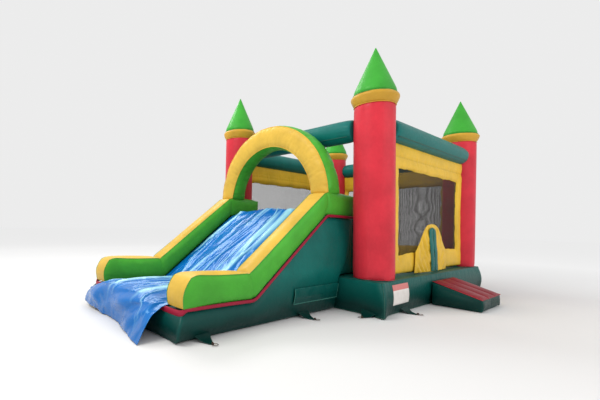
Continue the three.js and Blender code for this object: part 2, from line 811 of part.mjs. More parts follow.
/** A short round tube along +Y, between two radii. */
function tubeGeometry(inner, outer, from, length) {
  const geometry = new THREE.LatheGeometry(
    corners([[inner, 0], [outer, 0], [outer, length], [inner, length], [inner, 0]]),
    ROUND_SIDES,
  );
  geometry.translate(0, from, 0);
  return geometry;
}
addMesh(
  "blower_sleeve",
  tubeGeometry(SLEEVE.radius - SKIN, SLEEVE.radius, SLEEVE_START, SLEEVE.length),
  COLOUR.darkGreen,
).position.set(SLEEVE.x, 0, SLEEVE_HEIGHT);
addMesh(
  "sleeve_strap",
  tubeGeometry(
    SLEEVE.radius + GAP,
    SLEEVE.radius + STRAP.thickness,
    SLEEVE_START + STRAP.start,
    STRAP.width,
  ),
  COLOUR.webbing,
  0.8,
).position.set(SLEEVE.x, 0, SLEEVE_HEIGHT);

// ---------------------------------------------------------------- anchors

/** A tapered fabric tab that lies on the ground, with the eye that holds the anchor ring. */
function tabGeometry() {
  const plate = block(
    PLAIN,
    corners([[-TAB.root / 2, 0], [-TAB.tip / 2, -TAB.reach], [TAB.tip / 2, -TAB.reach], [TAB.root / 2, 0]]),
    0,
    TAB.thickness,
  )(0);
  const start = new THREE.Vector3(-EYE.half, -TAB.reach - EYE.offset, EYE.radius);
  const end = start.clone().setX(EYE.half);
  const eye = rod(start, end, EYE.radius, PORT_SIDES);
  const bore = rod(start.clone().sub(X), end.clone().add(X), EYE.bore, PORT_SIDES);
  return geometryOf(plate.add(eye).subtract(bore));
}

const ANCHORS = [
  { name: "slide_front", x: -2920, y: SLIDE_NEAR - GAP, turn: 0 },
  { name: "slide_rear", x: -1150, y: SLIDE_NEAR - GAP, turn: 0 },
  { name: "left", x: BASE.left - GAP, y: -130, turn: -Math.PI / 2 },
  { name: "front", x: 380, y: BASE.front - GAP, turn: 0 },
];

for (const { name, x, y, turn } of ANCHORS) {
  const tab = addMesh(`anchor_tab_${name}`, tabGeometry(), COLOUR.darkGreen);
  tab.position.set(x, y, 0);
  tab.rotation.z = turn;
  const ring = addMesh(
    `anchor_ring_${name}`,
    new THREE.TorusGeometry(RING_RADIUS, RING_WIRE, 6, 16),
    COLOUR.steel,
    0.3,
  );
  const reach = TAB.reach + EYE.offset + RING_RADIUS;
  ring.position.set(x + reach * Math.sin(turn), y - reach * Math.cos(turn), EYE.radius);
}

// ---------------------------------------------------------------- placing

const footprint = new THREE.Box3().setFromObject(house);
const middle = footprint.getCenter(new THREE.Vector3());
house.position.set(-middle.x, -middle.y, -footprint.min.z);

const group = new THREE.Group();
group.add(house);
group.updateMatrixWorld(true);

export default group;
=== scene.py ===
"""The looks of the inflatable bounce house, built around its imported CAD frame. Metres, +Z up, row frame."""

import math

import bpy
import numpy as np
from mathutils import Matrix, Vector
from mathutils.bvhtree import BVHTree


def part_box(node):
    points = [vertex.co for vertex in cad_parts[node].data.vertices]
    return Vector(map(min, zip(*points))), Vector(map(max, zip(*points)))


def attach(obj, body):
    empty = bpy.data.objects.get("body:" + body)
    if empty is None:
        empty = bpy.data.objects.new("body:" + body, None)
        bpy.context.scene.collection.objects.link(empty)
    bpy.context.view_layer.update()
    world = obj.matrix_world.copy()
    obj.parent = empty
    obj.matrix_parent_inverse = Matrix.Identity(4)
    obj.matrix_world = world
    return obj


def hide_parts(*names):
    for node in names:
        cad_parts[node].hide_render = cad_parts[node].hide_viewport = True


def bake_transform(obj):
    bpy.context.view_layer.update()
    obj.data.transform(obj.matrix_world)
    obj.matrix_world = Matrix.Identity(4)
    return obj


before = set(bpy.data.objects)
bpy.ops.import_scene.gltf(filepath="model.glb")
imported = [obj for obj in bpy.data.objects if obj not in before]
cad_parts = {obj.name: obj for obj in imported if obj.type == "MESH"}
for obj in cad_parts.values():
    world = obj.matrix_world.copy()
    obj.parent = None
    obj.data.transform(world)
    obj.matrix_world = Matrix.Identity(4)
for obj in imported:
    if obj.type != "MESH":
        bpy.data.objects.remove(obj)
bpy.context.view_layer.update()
ROOT = "bouncer"
SEED = 7
OFF_GROUND = 0.0015
SEAM = 0.005


def low(node):
    return np.array(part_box(node)[0])


def high(node):
    return np.array(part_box(node)[1])


def middle(node):
    return (low(node) + high(node)) / 2


def span(node):
    return high(node) - low(node)


# ---------------------------------------------------------------- places, from the frame

TOWERS = ("front_left", "front_right", "rear_left", "rear_right")
TOWER = {name: middle(f"tower_{name}") for name in TOWERS}
TOWER_RADIUS = span("tower_front_left")[0] / 2
NEAR_X, NEAR_Y = TOWER["front_left"][:2]
FAR_X, FAR_Y = TOWER["rear_right"][:2]
ROOM_MIDDLE = ((NEAR_X + FAR_X) / 2, (NEAR_Y + FAR_Y) / 2)
BASE_LOW, BASE_HIGH = low("base_chamber"), high("base_chamber")
FLOOR = BASE_HIGH[2]
DOOR_MIDDLE = (high("door_flap_left")[0] + low("door_flap_right")[0]) / 2

SLIDE_FRONT = low("slide_front_chamber")[0]
SLIDE_BEND = high("slide_front_chamber")[0]
SLIDE_TOP = low("slide_deck_chamber")[0]
SLIDE_REAR = high("slide_deck_chamber")[0]
SLIDE_NEAR = low("slide_front_chamber")[1]
SLIDE_FAR = high("slide_front_chamber")[1]
SIDE_WIDTH = span("slide_wall_near_run")[1]
TRIM_Z = low("slide_wall_near_run")[2]
RUN_TOP = high("slide_wall_near_run")[2]
DECK_Z = low("slide_wall_near_deck")[2]
DECK_TOP = high("slide_wall_near_deck")[2]
DECK_END = high("slide_wall_near_deck")[0]
CROWN = high("slide_front_chamber")[2] - TRIM_Z
BED_NEAR, BED_FAR = SLIDE_NEAR + SIDE_WIDTH, SLIDE_FAR - SIDE_WIDTH


def axes_of(side):
    """The axis along one side of the room, and the one across it."""
    along = 0 if side in ("front", "rear") else 1
    return along, 1 - along


# ---------------------------------------------------------------- materials


class Nodes:
    """A short way to write a material's node tree."""

    def __init__(self, name):
        self.material = bpy.data.materials.new(name)
        self.material.use_nodes = True
        self.tree = self.material.node_tree
        self.shader = self.tree.nodes["Principled BSDF"]
        self.place = self.add("ShaderNodeTexCoord").outputs["Object"]

    def add(self, kind, inputs=None, **settings):
        node = self.tree.nodes.new(kind)
        for key, value in settings.items():
            setattr(node, key, value)
        for key, value in (inputs or {}).items():
            self.feed(node.inputs[key], value)
        return node

    def feed(self, socket, value):
        if isinstance(value, bpy.types.NodeSocket):
            self.tree.links.new(value, socket)
        else:
            socket.default_value = value

    def paint(self, **inputs):
        """Feeds the shader, with an underscore for each space in a name, and gives the material."""
        for key, value in inputs.items():
            self.feed(self.shader.inputs[key.replace("_", " ")], value)
        return self.material

    def math(self, operation, a, b=0.0):
        return self.add("ShaderNodeMath", {0: a, 1: b}, operation=operation).outputs[0]

    def noise(self, scale, detail, **more):
        inputs = {"Vector": self.place, "Scale": scale, "Detail": detail, **more}
        return self.add("ShaderNodeTexNoise", inputs).outputs["Fac"]

    def split(self, vector):
        return self.add("ShaderNodeSeparateXYZ", {"Vector": vector}).outputs

    def along(self):
        """The X and Y of the UV map "along"."""
        return self.split(self.add("ShaderNodeUVMap", uv_map="along").outputs["UV"])

    def ramp(self, factor, low_value, high_value, start=0.0, end=1.0):
        inputs = {"Value": factor, "From Min": start, "From Max": end}
        inputs |= {"To Min": low_value, "To Max": high_value}
        return self.add("ShaderNodeMapRange", inputs).outputs["Result"]

    def mix(self, factor, a, b):
        return self.add("ShaderNodeMix", {0: factor, 6: a, 7: b}, data_type="RGBA").outputs[2]

    def bump(self, height, strength, distance, normal=None):
        inputs = {"Height": height, "Strength": strength, "Distance": distance}
        if normal is not None:
            inputs["Normal"] = normal
        return self.add("ShaderNodeBump", inputs).outputs["Normal"]


def linear(red, green, blue):
    """An sRGB colour of 0 to 255 as linear RGBA."""
    shares = [c / 255 for c in (red, green, blue)]
    return (*[c / 12.92 if c <= 0.04045 else ((c + 0.055) / 1.055) ** 2.4 for c in shares], 1.0)


def scaled(colour, factor):
    return (*[min(c * factor, 1.0) for c in colour[:3]], 1.0)


def vinyl(
    name, colour, roughness=0.42, coat=0.03, low_grime_and_shade=0.35, shine=0.16,
    grime_and_shade_tone=0.38, crest_highlight=None, gleam=(1, 1, 1, 1),
):
    """Coated fabric: a fine scrim under a glossy coat, cloudy, darker near the ground from soil and painted
    shade, and darker in creases from painted shade.

    The crest colour argument is a painted highlight for the parts marked by the attribute crest, and gleam
    tints the gloss.
    """
    nodes = Nodes(name)
    clouds = nodes.noise(2.3, 5.0, Roughness=0.6)
    tone = nodes.mix(nodes.ramp(clouds, 0.0, 1.0, 0.35, 0.65), scaled(colour, 0.86), scaled(colour, 1.08))
    # Darker towards the ground: part soil, part painted shade.
    near_ground = nodes.ramp(nodes.split(nodes.place)["Z"], 1.3, 0.0, 0.0, 0.62)
    ground_grime_and_shade = nodes.math("MULTIPLY", nodes.math("MULTIPLY", near_ground, nodes.ramp(clouds, 0.7, 1.3)), low_grime_and_shade)
    edges = nodes.add("ShaderNodeNewGeometry").outputs["Pointiness"]
    # Darker where the surface is hollow, in creases and seams: painted shade.
    crease_shade = nodes.ramp(edges, 0.22, 0.0, 0.47, 0.5)
    worn = nodes.ramp(edges, 0.0, 0.18, 0.52, 0.58)
    tone = nodes.mix(nodes.math("MAXIMUM", ground_grime_and_shade, crease_shade), tone, scaled(colour, grime_and_shade_tone))
    tone = nodes.mix(worn, tone, scaled(colour, 1.5))
    # The crest colour is a painted highlight on the parts marked by the attribute crest.
    if crest_highlight:
        crest = nodes.add("ShaderNodeAttribute", attribute_name="crest")
        tone = nodes.mix(crest.outputs["Fac"], tone, crest_highlight)
    weave = nodes.add("ShaderNodeTexVoronoi", {"Vector": nodes.place, "Scale": 420.0}, distance="CHEBYCHEV")
    fine = nodes.bump(weave.outputs["Distance"], 0.12, 0.0006)
    return nodes.paint(
        Base_Color=tone,
        Roughness=nodes.ramp(nodes.noise(38.0, 3.0), roughness - 0.06, roughness + 0.08, 0.3, 0.7),
        Normal=nodes.bump(nodes.noise(16.0, 2.0, Distortion=0.6), 0.28, 0.012, fine),
        Coat_Weight=coat,
        Coat_Roughness=0.16,
        Specular_IOR_Level=shine,
        Specular_Tint=gleam,
    )


def stitched(name, colour):
    """A folded seam tape: a row of light stitches over a fine woven ground."""
    nodes = Nodes(name)
    along = nodes.along()
    dash = nodes.math("LESS_THAN", nodes.math("FRACT", nodes.math("MULTIPLY", along["X"], 90.0)), 0.62)
    row = nodes.math("LESS_THAN", nodes.math("ABSOLUTE", nodes.math("SUBTRACT", along["Y"], 0.5)), 0.07)
    thread = nodes.math("MULTIPLY", dash, row)
    cloud = nodes.noise(30.0, 3.0)
    ground = nodes.mix(cloud, scaled(colour, 0.8), scaled(colour, 1.12))
    return nodes.paint(
        Base_Color=nodes.mix(thread, ground, scaled(colour, 1.9)),
        Normal=nodes.bump(thread, 0.5, 0.0015),
        Roughness=nodes.ramp(cloud, 0.4, 0.55),
    )


def woven(name, colour):
    """Woven webbing or netting cord: crossed threads, dull."""
    nodes = Nodes(name)
    weave = nodes.add("ShaderNodeTexChecker", {"Vector": nodes.place, "Scale": 1 / 0.003})
    cloud = nodes.noise(25.0, 4.0)
    return nodes.paint(
        Base_Color=nodes.mix(cloud, scaled(colour, 0.7), scaled(colour, 1.25)),
        Normal=nodes.bump(weave.outputs["Fac"], 0.4, 0.0008),
        Roughness=nodes.ramp(cloud, 0.65, 0.75),
    )


def galvanised(name, colour):
    """Zinc plated steel with a soft mottle."""
    nodes = Nodes(name)
    spots = nodes.add("ShaderNodeTexVoronoi", {"Vector": nodes.place, "Scale": 160.0}).outputs["Distance"]
    return nodes.paint(
        Base_Color=nodes.mix(spots, scaled(colour, 0.8), scaled(colour, 1.15)),
        Roughness=nodes.ramp(nodes.noise(60.0, 4.0), 0.25, 0.5),
        Metallic=1.0,
    )


def blank_label(name):
    """A white film panel with a plain tinted band: no lettering."""
    nodes = Nodes(name)
    band = nodes.math("GREATER_THAN", nodes.along()["Y"], 0.72)
    cloud = nodes.noise(14.0, 4.0)
    film = nodes.mix(cloud, linear(222, 214, 208), linear(246, 242, 238))
    return nodes.paint(
        Base_Color=nodes.mix(band, film, linear(214, 120, 116)),
        Roughness=nodes.ramp(cloud, 0.3, 0.45),
    )


COLOUR = {
    "red": linear(210, 50, 64),
    # A darker copy of the red for the ramp pad: painted shade and dirt.
    "ramp": linear(146, 34, 46),
    "green": linear(64, 166, 56),
    "lime": linear(76, 172, 54),
    "teal": linear(12, 110, 104),
    "yellow": linear(232, 188, 54),
    "slide_yellow": linear(220, 180, 72),
    "gold": linear(206, 158, 56),
    "trim": linear(168, 34, 62),
}
SEAM_COLOUR = {
    "dark": linear(18, 78, 66),
    "yellow": linear(214, 160, 44),
    "red": linear(168, 36, 48),
    "green": linear(62, 140, 48),
}
MATERIAL = {name: vinyl(f"{name}_vinyl", colour) for name, colour in COLOUR.items()}
MATERIAL |= {f"seam_{name}": stitched(f"seam_{name}", colour) for name, colour in SEAM_COLOUR.items()}
MATERIAL |= {
    # The light cyan on the blue film's wrinkle crests is a painted highlight.
    "blue": vinyl(
        "blue_film", linear(0, 108, 194), roughness=0.2, coat=0.10, low_grime_and_shade=0.3, shine=0.46,
        crest_highlight=linear(176, 236, 248), gleam=(0.42, 0.88, 1.0, 1.0),
    ),
    # This body is strongly darkened near the ground by soil and painted shade, and in creases by painted
    # shade.
    "dark_green": vinyl("dark_green_body", linear(6, 104, 96), low_grime_and_shade=0.95, grime_and_shade_tone=0.22),
    "net": woven("net_cord", linear(30, 25, 24)),
    "webbing": woven("strap_webbing", linear(74, 54, 42)),
    "edging": woven("light_edging", linear(50, 116, 104)),
    "steel": galvanised("zinc_steel", linear(128, 118, 112)),
    "label": blank_label("label_film"),
}


# ---------------------------------------------------------------- meshes


def new_object(name, points, faces, material):
    mesh = bpy.data.meshes.new(name)
    mesh.from_pydata(np.asarray(points, float).tolist(), [], [list(map(int, f)) for f in faces])
    mesh.materials.append(material)
    mesh.shade_smooth()
    obj = bpy.data.objects.new(name, mesh)
    bpy.context.scene.collection.objects.link(obj)
    return obj


def read(obj, key):
    """Three numbers for each vertex: "co", "normal", or the box coordinates "uvw" that the lattices keep."""
    values = np.zeros(len(obj.data.vertices) * 3, np.float32 if key == "uvw" else float)
    if key == "uvw":
        obj.data.attributes["uvw"].data.foreach_get("vector", values)
    else:
        obj.data.vertices.foreach_get(key, values)
    return values.reshape(-1, 3).astype(float)


def set_points(obj, points):
    obj.data.vertices.foreach_set("co", np.asarray(points, np.float32).ravel())
    obj.data.update()


def keep(obj, name, values):
    """Stores one vector or number for each vertex."""
    kind, key = ("FLOAT_VECTOR", "vector") if values.ndim == 2 else ("FLOAT", "value")
    obj.data.attributes.new(name, kind, "POINT").data.foreach_set(key, values.astype(np.float32).ravel())


def soft_box(name, mapping, counts, material):
    """A closed quad mesh: the surface lattice of a unit box, placed by mapping(u, v, w)."""
    size = np.array(counts)
    index, keys, faces = {}, [], []
    for axis in range(3):
        a, b = ((1, 2), (2, 0), (0, 1))[axis]
        for side, i, j in np.ndindex(2, size[a], size[b]):
            quad = []
            for di, dj in ((0, 0), (1, 0), (1, 1), (0, 1)):
                key = [0, 0, 0]
                key[axis], key[a], key[b] = size[axis] * side, i + di, j + dj
                key = tuple(key)
                if key not in index:
                    index[key] = len(keys)
                    keys.append(key)
                quad.append(index[key])
            faces.append(quad if side else quad[::-1])
    uvw = np.array(keys, float) / size
    points = np.stack(mapping(*uvw.T), 1)
    quads = points[np.array(faces)]
    facing = np.cross(quads[:, 1] - quads[:, 0], quads[:, 2] - quads[:, 0])
    if (quads[:, 0] * facing).sum() < 0:
        faces = [f[::-1] for f in faces]
    obj = new_object(name, points, faces, material)
    keep(obj, "uvw", uvw)
    return obj


def sheet_grid(name, mapping, counts, material):
    """An open grid placed by mapping(u, v)."""
    columns, rows = counts
    u, v = np.meshgrid(np.linspace(0, 1, columns + 1), np.linspace(0, 1, rows + 1), indexing="ij")
    points = np.stack(mapping(u.ravel(), v.ravel()), 1)
    first = [i * (rows + 1) + j for i in range(columns) for j in range(rows)]
    obj = new_object(name, points, [(a, a + rows + 1, a + rows + 2, a + 1) for a in first], material)
    keep(obj, "uvw", np.stack([u.ravel(), v.ravel(), np.zeros(u.size)], 1))
    return obj


def disc(a, b):
    """Points of a square of half side 1 moved onto a round disc of radius 1."""
    return a * np.sqrt(1 - b * b / 2), b * np.sqrt(1 - a * a / 2)


def apply_modifiers(obj):
    graph = bpy.context.evaluated_depsgraph_get()
    shaped = obj.evaluated_get(graph)
    mesh = bpy.data.meshes.new_from_object(shaped, preserve_all_data_layers=True, depsgraph=graph)
    mesh.name = obj.name
    obj.modifiers.clear()
    obj.data = mesh
    obj.data.shade_smooth()
    return obj


def thicken(obj, thickness):
    modifier = obj.modifiers.new("thick", "SOLIDIFY")
    modifier.thickness = thickness
    modifier.offset = 0
    return apply_modifiers(obj)


def subdivide(obj):
    modifier = obj.modifiers.new("smooth", "SUBSURF")
    modifier.levels = modifier.render_levels = 1
    modifier.boundary_smooth = "PRESERVE_CORNERS"
    return apply_modifiers(obj)


def simulate(obj, frames, pressure=0.0, growth=0.0, stiffness=15.0, pinned=None, bending=0.5):
    """Runs Blender's cloth on obj and returns the moved points, with the modifier gone again."""
    cloth = obj.modifiers.new("cloth", "CLOTH")
    settings = cloth.settings
    settings.quality = 5
    settings.mass = 0.3
    settings.tension_stiffness = settings.compression_stiffness = stiffness
    settings.shear_stiffness = stiffness / 3
    settings.bending_stiffness = bending
    settings.shrink_min = settings.shrink_max = -growth
    settings.effector_weights.gravity = 0.0
    settings.use_pressure = pressure > 0
    settings.uniform_pressure_force = pressure
    cloth.collision_settings.use_collision = False
    cloth.collision_settings.use_self_collision = False
    if pinned is not None:
        group = obj.vertex_groups.new(name="pinned")
        group.add(np.flatnonzero(pinned).tolist(), 1.0, "REPLACE")
        settings.vertex_group_mass = "pinned"
    cloth.point_cache.frame_start, cloth.point_cache.frame_end = 1, frames
    scene = bpy.context.scene
    for number in range(1, frames + 1):
        scene.frame_set(number)
    graph = bpy.context.evaluated_depsgraph_get()
    moved = np.zeros(len(obj.data.vertices) * 3)
    obj.evaluated_get(graph).data.vertices.foreach_get("co", moved)
    obj.modifiers.clear()
    obj.vertex_groups.clear()
    scene.frame_set(1)
    return moved.reshape(-1, 3)


def eased(rest, moved, cap):
    """Points on their way from rest to moved, none further than cap: a number, or one number a point."""
    step = moved - rest
    length = np.maximum(np.linalg.norm(step, axis=1), 1e-9)
    cap = np.maximum(np.broadcast_to(cap, length.shape), 1e-6)
    return rest + step * (cap * np.tanh(length / cap) / length)[:, None]


def relax(obj, frames, growth, cap, pinned=None, limit=None):
    """Lets a sheet buckle as cloth that is a little too wide, held where pinned says, or else all round."""
    rest = read(obj, "co")
    if pinned is None:
        u, v, _ = read(obj, "uvw").T
        pinned = np.minimum(np.minimum(u, 1 - u), np.minimum(v, 1 - v)) < 0.01
    moved = simulate(obj, frames, growth=growth, pinned=pinned, stiffness=25, bending=0.3)
    rest = eased(rest, moved, cap)
    if limit is not None:
        rest = limit(rest)
    set_points(obj, rest)
    return subdivide(obj)


def inflate(obj, cap, pressure=4.0, growth=0.0, frames=18):
    """Blows a closed form up as cloth. No point moves further than cap, a number or one number a vertex."""
    rest = read(obj, "co")
    moved = simulate(obj, frames, pressure=pressure, growth=growth)
    set_points(obj, eased(rest, moved, cap))
    return obj


def waves(along, seed, pitch):
    """An irregular row of creases along a seam: rounded ridges with sharp valleys, from -1 to 0."""
    rng = np.random.default_rng(seed)
    total = np.zeros_like(along)
    for share, factor in ((0.6, 1.0), (0.4, 0.61), (0.35, 1.73)):
        phase, stretch = rng.uniform(0, 6.28), rng.uniform(0.9, 1.1)
        total += share * np.sin(2 * math.pi * along * factor * stretch / pitch + phase)
    return -np.abs(total)


def pucker(obj, size, depth, pitch, reach, seed, axes=(0, 1, 2), closed=()):
    """Presses creases into a form next to the edges of its unit box. size is its rough size in metres."""
    uvw = read(obj, "uvw")
    size = np.array(size, float)
    away = np.minimum(uvw, 1 - uvw) * size
    on_face = away < 1e-5
    amount = np.zeros(len(uvw))
    for axis in axes:
        for other in {0, 1, 2} - {axis}:
            if axis in closed:
                continue
            third = 3 - axis - other
            edge = (uvw[:, axis] > 0.5).astype(int) * 2 + (uvw[:, other] > 0.5)
            distance = away[:, axis]
            fade = (distance / (distance + 0.012)) * np.exp(-distance / reach)
            for number in range(4):
                rows = on_face[:, other] & (edge == number)
                if rows.any():
                    line = uvw[rows, third] * size[third]
                    found = waves(line, seed * 97 + axis * 31 + other * 7 + number, pitch)
                    amount[rows] += depth * fade[rows] * found
    set_points(obj, read(obj, "co") + read(obj, "normal") * amount[:, None])
    return obj


def blown(name, mapping, counts, material, cap, creases, limit=None, **cloth):
    """A chamber: a lattice blown up as cloth, smoothed, and creased along its seams.

    cap is a number or a function of u, v and w, creases goes to pucker, and limit moves points that
    went too far.
    """
    obj = soft_box(name, mapping, counts, MATERIAL[material])
    inflate(obj, cap(*read(obj, "uvw").T) if callable(cap) else cap, **cloth)
    if limit:
        set_points(obj, limit(read(obj, "co")))
    subdivide(obj)
    pucker(obj, **creases)
    if limit:
        set_points(obj, limit(read(obj, "co")))
    return obj


def off_ground(points):
    points[:, 2] = np.maximum(points[:, 2], OFF_GROUND)
    return points


def ride(obj, body, slot, *replaced, full=False):
    """Puts a piece on a body. full is not used."""
    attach(obj, body)
    if replaced:
        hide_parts(*replaced)
    return obj


def split(obj, choose, name, material):
    """Moves the faces that choose(their uvw, their middles) picks out of obj into a new object."""
    uvw, points = read(obj, "uvw"), read(obj, "co")
    corners = [list(p.vertices) for p in obj.data.polygons]
    taken = choose(*(np.array([values[c].mean(0) for c in corners]) for values in (uvw, points)))

    def part(rows, part_name, part_material):
        faces = [corners[i] for i in np.flatnonzero(rows)]
        used = sorted({v for f in faces for v in f})
        at = {v: i for i, v in enumerate(used)}
        return new_object(part_name, points[used], [[at[v] for v in f] for f in faces], part_material)

    old_name = obj.name
    kept = part(~taken, old_name + "_kept", obj.data.materials[0])
    cut = part(taken, name, MATERIAL[material])
    bpy.data.objects.remove(obj)
    kept.name = old_name
    return kept, cut


def tube(name, path, radius, material, closed=False, sides=8, flat=1.0, up=None):
    """A closed tube along points, with the UV map "along". flat squeezes its section along up."""
    path = np.asarray(path, float)
    count = len(path)
    ahead = np.roll(path, -1, 0) - np.roll(path, 1, 0)
    if not closed:
        ahead[0], ahead[-1] = path[1] - path[0], path[-1] - path[-2]
    ahead /= np.maximum(np.linalg.norm(ahead, axis=1), 1e-9)[:, None]
    if up is None:
        up = np.tile([0.0, 0.0, 1.0], (count, 1))
        up[np.abs(ahead[:, 2]) > 0.9] = [1.0, 0.0, 0.0]
    side = np.cross(ahead, np.broadcast_to(np.asarray(up, float), (count, 3)))
    side /= np.maximum(np.linalg.norm(side, axis=1), 1e-9)[:, None]
    top = np.cross(side, ahead)
    angles = np.arange(sides) * 2 * math.pi / sides
    flat = np.broadcast_to(flat, (count,))[:, None, None]
    wide, thick = np.cos(angles)[None, :, None], np.sin(angles)[None, :, None]
    ring = wide * side[:, None] + flat * thick * top[:, None]
    faces = []
    for i, k in np.ndindex(count if closed else count - 1, sides):
        j, m = (i + 1) % count, (k + 1) % sides
        faces.append((i * sides + k, i * sides + m, j * sides + m, j * sides + k))
    if not closed:
        faces.append(tuple(range(sides))[::-1])
        faces.append(tuple((count - 1) * sides + k for k in range(sides)))
    obj = new_object(name, (path[:, None] + radius * ring).reshape(-1, 3), faces, MATERIAL[material])
    lengths = line_lengths(path)
    layer = obj.data.uv_layers.new(name="along")
    for loop in obj.data.loops:
        row, place = divmod(loop.vertex_index, sides)
        layer.data[loop.index].uv = (lengths[row], place / sides)
    return obj


def seam(name, path, colour, slot, radius=SEAM, closed=False):
    """A seam tape that rides on the main body."""
    return ride(tube(name, path, radius, f"seam_{colour}", closed), ROOT, slot)


def line_lengths(line):
    return np.concatenate([[0], np.cumsum(np.linalg.norm(np.diff(line, axis=0), axis=1))])


def edge_line(obj, fixed):
    """The points of obj along one edge of its unit box: fixed is {axis: 0 or 1} for two axes."""
    uvw = read(obj, "uvw")
    rows = np.all([np.abs(uvw[:, axis] - value) < 1e-4 for axis, value in fixed.items()], axis=0)
    free = ({0, 1, 2} - set(fixed)).pop()
    return read(obj, "co")[rows][np.argsort(uvw[rows, free])]


def surface(obj):
    graph = bpy.context.evaluated_depsgraph_get()
    graph.update()
    return BVHTree.FromObject(obj, graph)


def laid_on(points, tree, direction, lift):
    """Moves points along direction onto a surface, less lift."""
    direction = Vector(direction).normalized()
    found = []
    for point in points:
        hit = tree.ray_cast(Vector(point) - direction, direction)[0]
        found.append((hit if hit is not None else Vector(point)) - direction * lift)
    return np.array(found)


def circle(count):
    return np.arange(count) * 2 * math.pi / count


# ---------------------------------------------------------------- camera and studio


def make_camera():
    data = bpy.data.cameras.new("camera")
    camera = bpy.data.objects.new("camera", data)
    bpy.context.scene.collection.objects.link(camera)
    yaw, pitch, roll = math.radians(37.188), math.radians(0.307), math.radians(1.242)
    ahead = Vector((math.sin(yaw) * math.cos(pitch), math.cos(yaw) * math.cos(pitch), math.sin(pitch)))
    level = Vector((math.cos(yaw), -math.sin(yaw), 0))
    rise = level.cross(ahead)
    right = level * math.cos(roll) + rise * math.sin(roll)
    up = rise * math.cos(roll) - level * math.sin(roll)
    turn = Matrix((right, up, -ahead)).transposed()
    from_tower = Vector((-5.322, -2.676, 1.247))
    camera.matrix_world = Matrix.Translation(Vector((NEAR_X, NEAR_Y, 0)) + from_tower) @ turn.to_4x4()
    data.sensor_width = 36.0
    data.lens = 21.53
    data.shift_x, data.shift_y = 0.1725, 0.0364
    data.clip_start, data.clip_end = 0.05, 100.0
    bpy.context.scene.camera = camera


def area_light(name, place, aim, size, power, tint=(1, 1, 1)):
    data = bpy.data.lights.new(name, "AREA")
    data.shape = "RECTANGLE"
    data.size, data.size_y = size
    data.energy = power
    data.color = tint
    light = bpy.data.objects.new(name, data)
    bpy.context.scene.collection.objects.link(light)
    light.location = place
    light.rotation_euler = (Vector(aim) - Vector(place)).to_track_quat("-Z", "Y").to_euler()


def make_studio():
    paper = Nodes("floor_sweep")
    away = paper.add("ShaderNodeVectorMath", {0: paper.place}, operation="LENGTH").outputs["Value"]
    paper.paint(
        Base_Color=(0.76, 0.76, 0.76, 1),
        Roughness=1.0,
        Specular_IOR_Level=0.0,
        Emission_Color=(1, 1, 1, 1),
        # Emission that grows away from the middle: a painted glow that makes the far floor as bright as the
        # white world.
        Emission_Strength=paper.ramp(away, 0.0, 0.19, 4.5, 12.5),
    )
    reach, drop = 60, -0.002
    corners = [(reach * x, reach * y, drop) for x, y in ((-1, -1), (1, -1), (1, 1), (-1, 1))]
    new_object("floor", corners, [(0, 1, 2, 3)], paper.material)
    world = bpy.data.worlds.new("studio")
    bpy.context.scene.world = world
    world.use_nodes = True
    world.node_tree.nodes["Background"].inputs["Color"].default_value = (1.0, 1.0, 1.0, 1)
    world.node_tree.nodes["Background"].inputs["Strength"].default_value = 0.84
    area_light("key", (-7.5, 0.5, 8.0), (0, 0, 1.0), (4, 4), 400, (1.0, 0.98, 0.95))
    area_light("fill", (1.0, -9.0, 5.0), (0.5, 0, 1.2), (6, 4), 130)
    area_light("rim", (-0.6, 6.5, 8.7), (-1.0, 0, 1.0), (6, 3), 330)
    bpy.context.scene.view_settings.view_transform = "Standard"


# ---------------------------------------------------------------- towers


def tower_parts():
    """One tower, collar and cone about the upright line through the origin."""
    radius = TOWER_RADIUS
    z0, z1 = low("tower_front_left")[2], high("tower_front_left")[2]

    def tower(u, v, w):
        a, b = disc(2 * u - 1, 2 * v - 1)
        z = z0 + (z1 - z0) * w
        r = (radius + 0.004) * (1 - 0.015 * np.exp(-(z - z0) / 0.04))
        return a * r, b * r, z

    c0, c1 = low("collar_front_left")[2], high("collar_front_left")[2]
    wide = span("collar_front_left")[0] / 2

    def collar(u, v, w):
        a, b = disc(2 * u - 1, 2 * v - 1)
        flare = np.clip(w / 0.72, 0, 1) ** 0.8 * (1 - 0.5 * np.clip((w - 0.78) / 0.22, 0, 1) ** 2)
        r = radius * 1.03 + (wide + 0.008 - radius * 1.03) * flare
        dome = 0.012 * (1 - np.hypot(a, b) ** 2)
        return a * r, b * r, c0 + 0.004 + (c1 - c0 - 0.008) * w + dome * (2 * w - 1)

    k0, k1 = low("cone_front_left")[2], high("cone_front_left")[2]
    foot = span("cone_front_left")[0] / 2

    def cone(u, v, w):
        a, b = disc(2 * u - 1, 2 * v - 1)
        gore = 1 + 0.015 * np.abs(np.cos(3 * np.arctan2(b, a)))
        r = (foot + 0.006) * (1 - w) * gore + 0.006 - 0.02 * np.exp(-w / 0.02)
        return a * r, b * r, k0 + 0.002 + (k1 - k0 - 0.004) * w

    def creases(wide, tall, depth, pitch, reach, seed):
        folds = {"depth": depth, "pitch": pitch, "reach": reach, "seed": seed, "axes": (2,)}
        return {"size": (wide, wide, tall), **folds}

    return {
        "tower": blown(
            "tower", tower, (11, 11, 60), "red", lambda u, v, w: 0.004 + 0.016 * np.clip(w / 0.06, 0, 1),
            creases(0.5, z1 - z0, 0.007, 0.13, 0.16, 1),
        ),
        "collar": blown(
            "collar", collar, (12, 12, 6), "gold", 0.009, creases(0.6, c1 - c0, 0.006, 0.075, 0.05, 2)
        ),
        "cone": blown(
            "cone", cone, (10, 10, 18), "green", 0.01, creases(0.5, k1 - k0, 0.004, 0.09, 0.06, 3), frames=10
        ),
    }


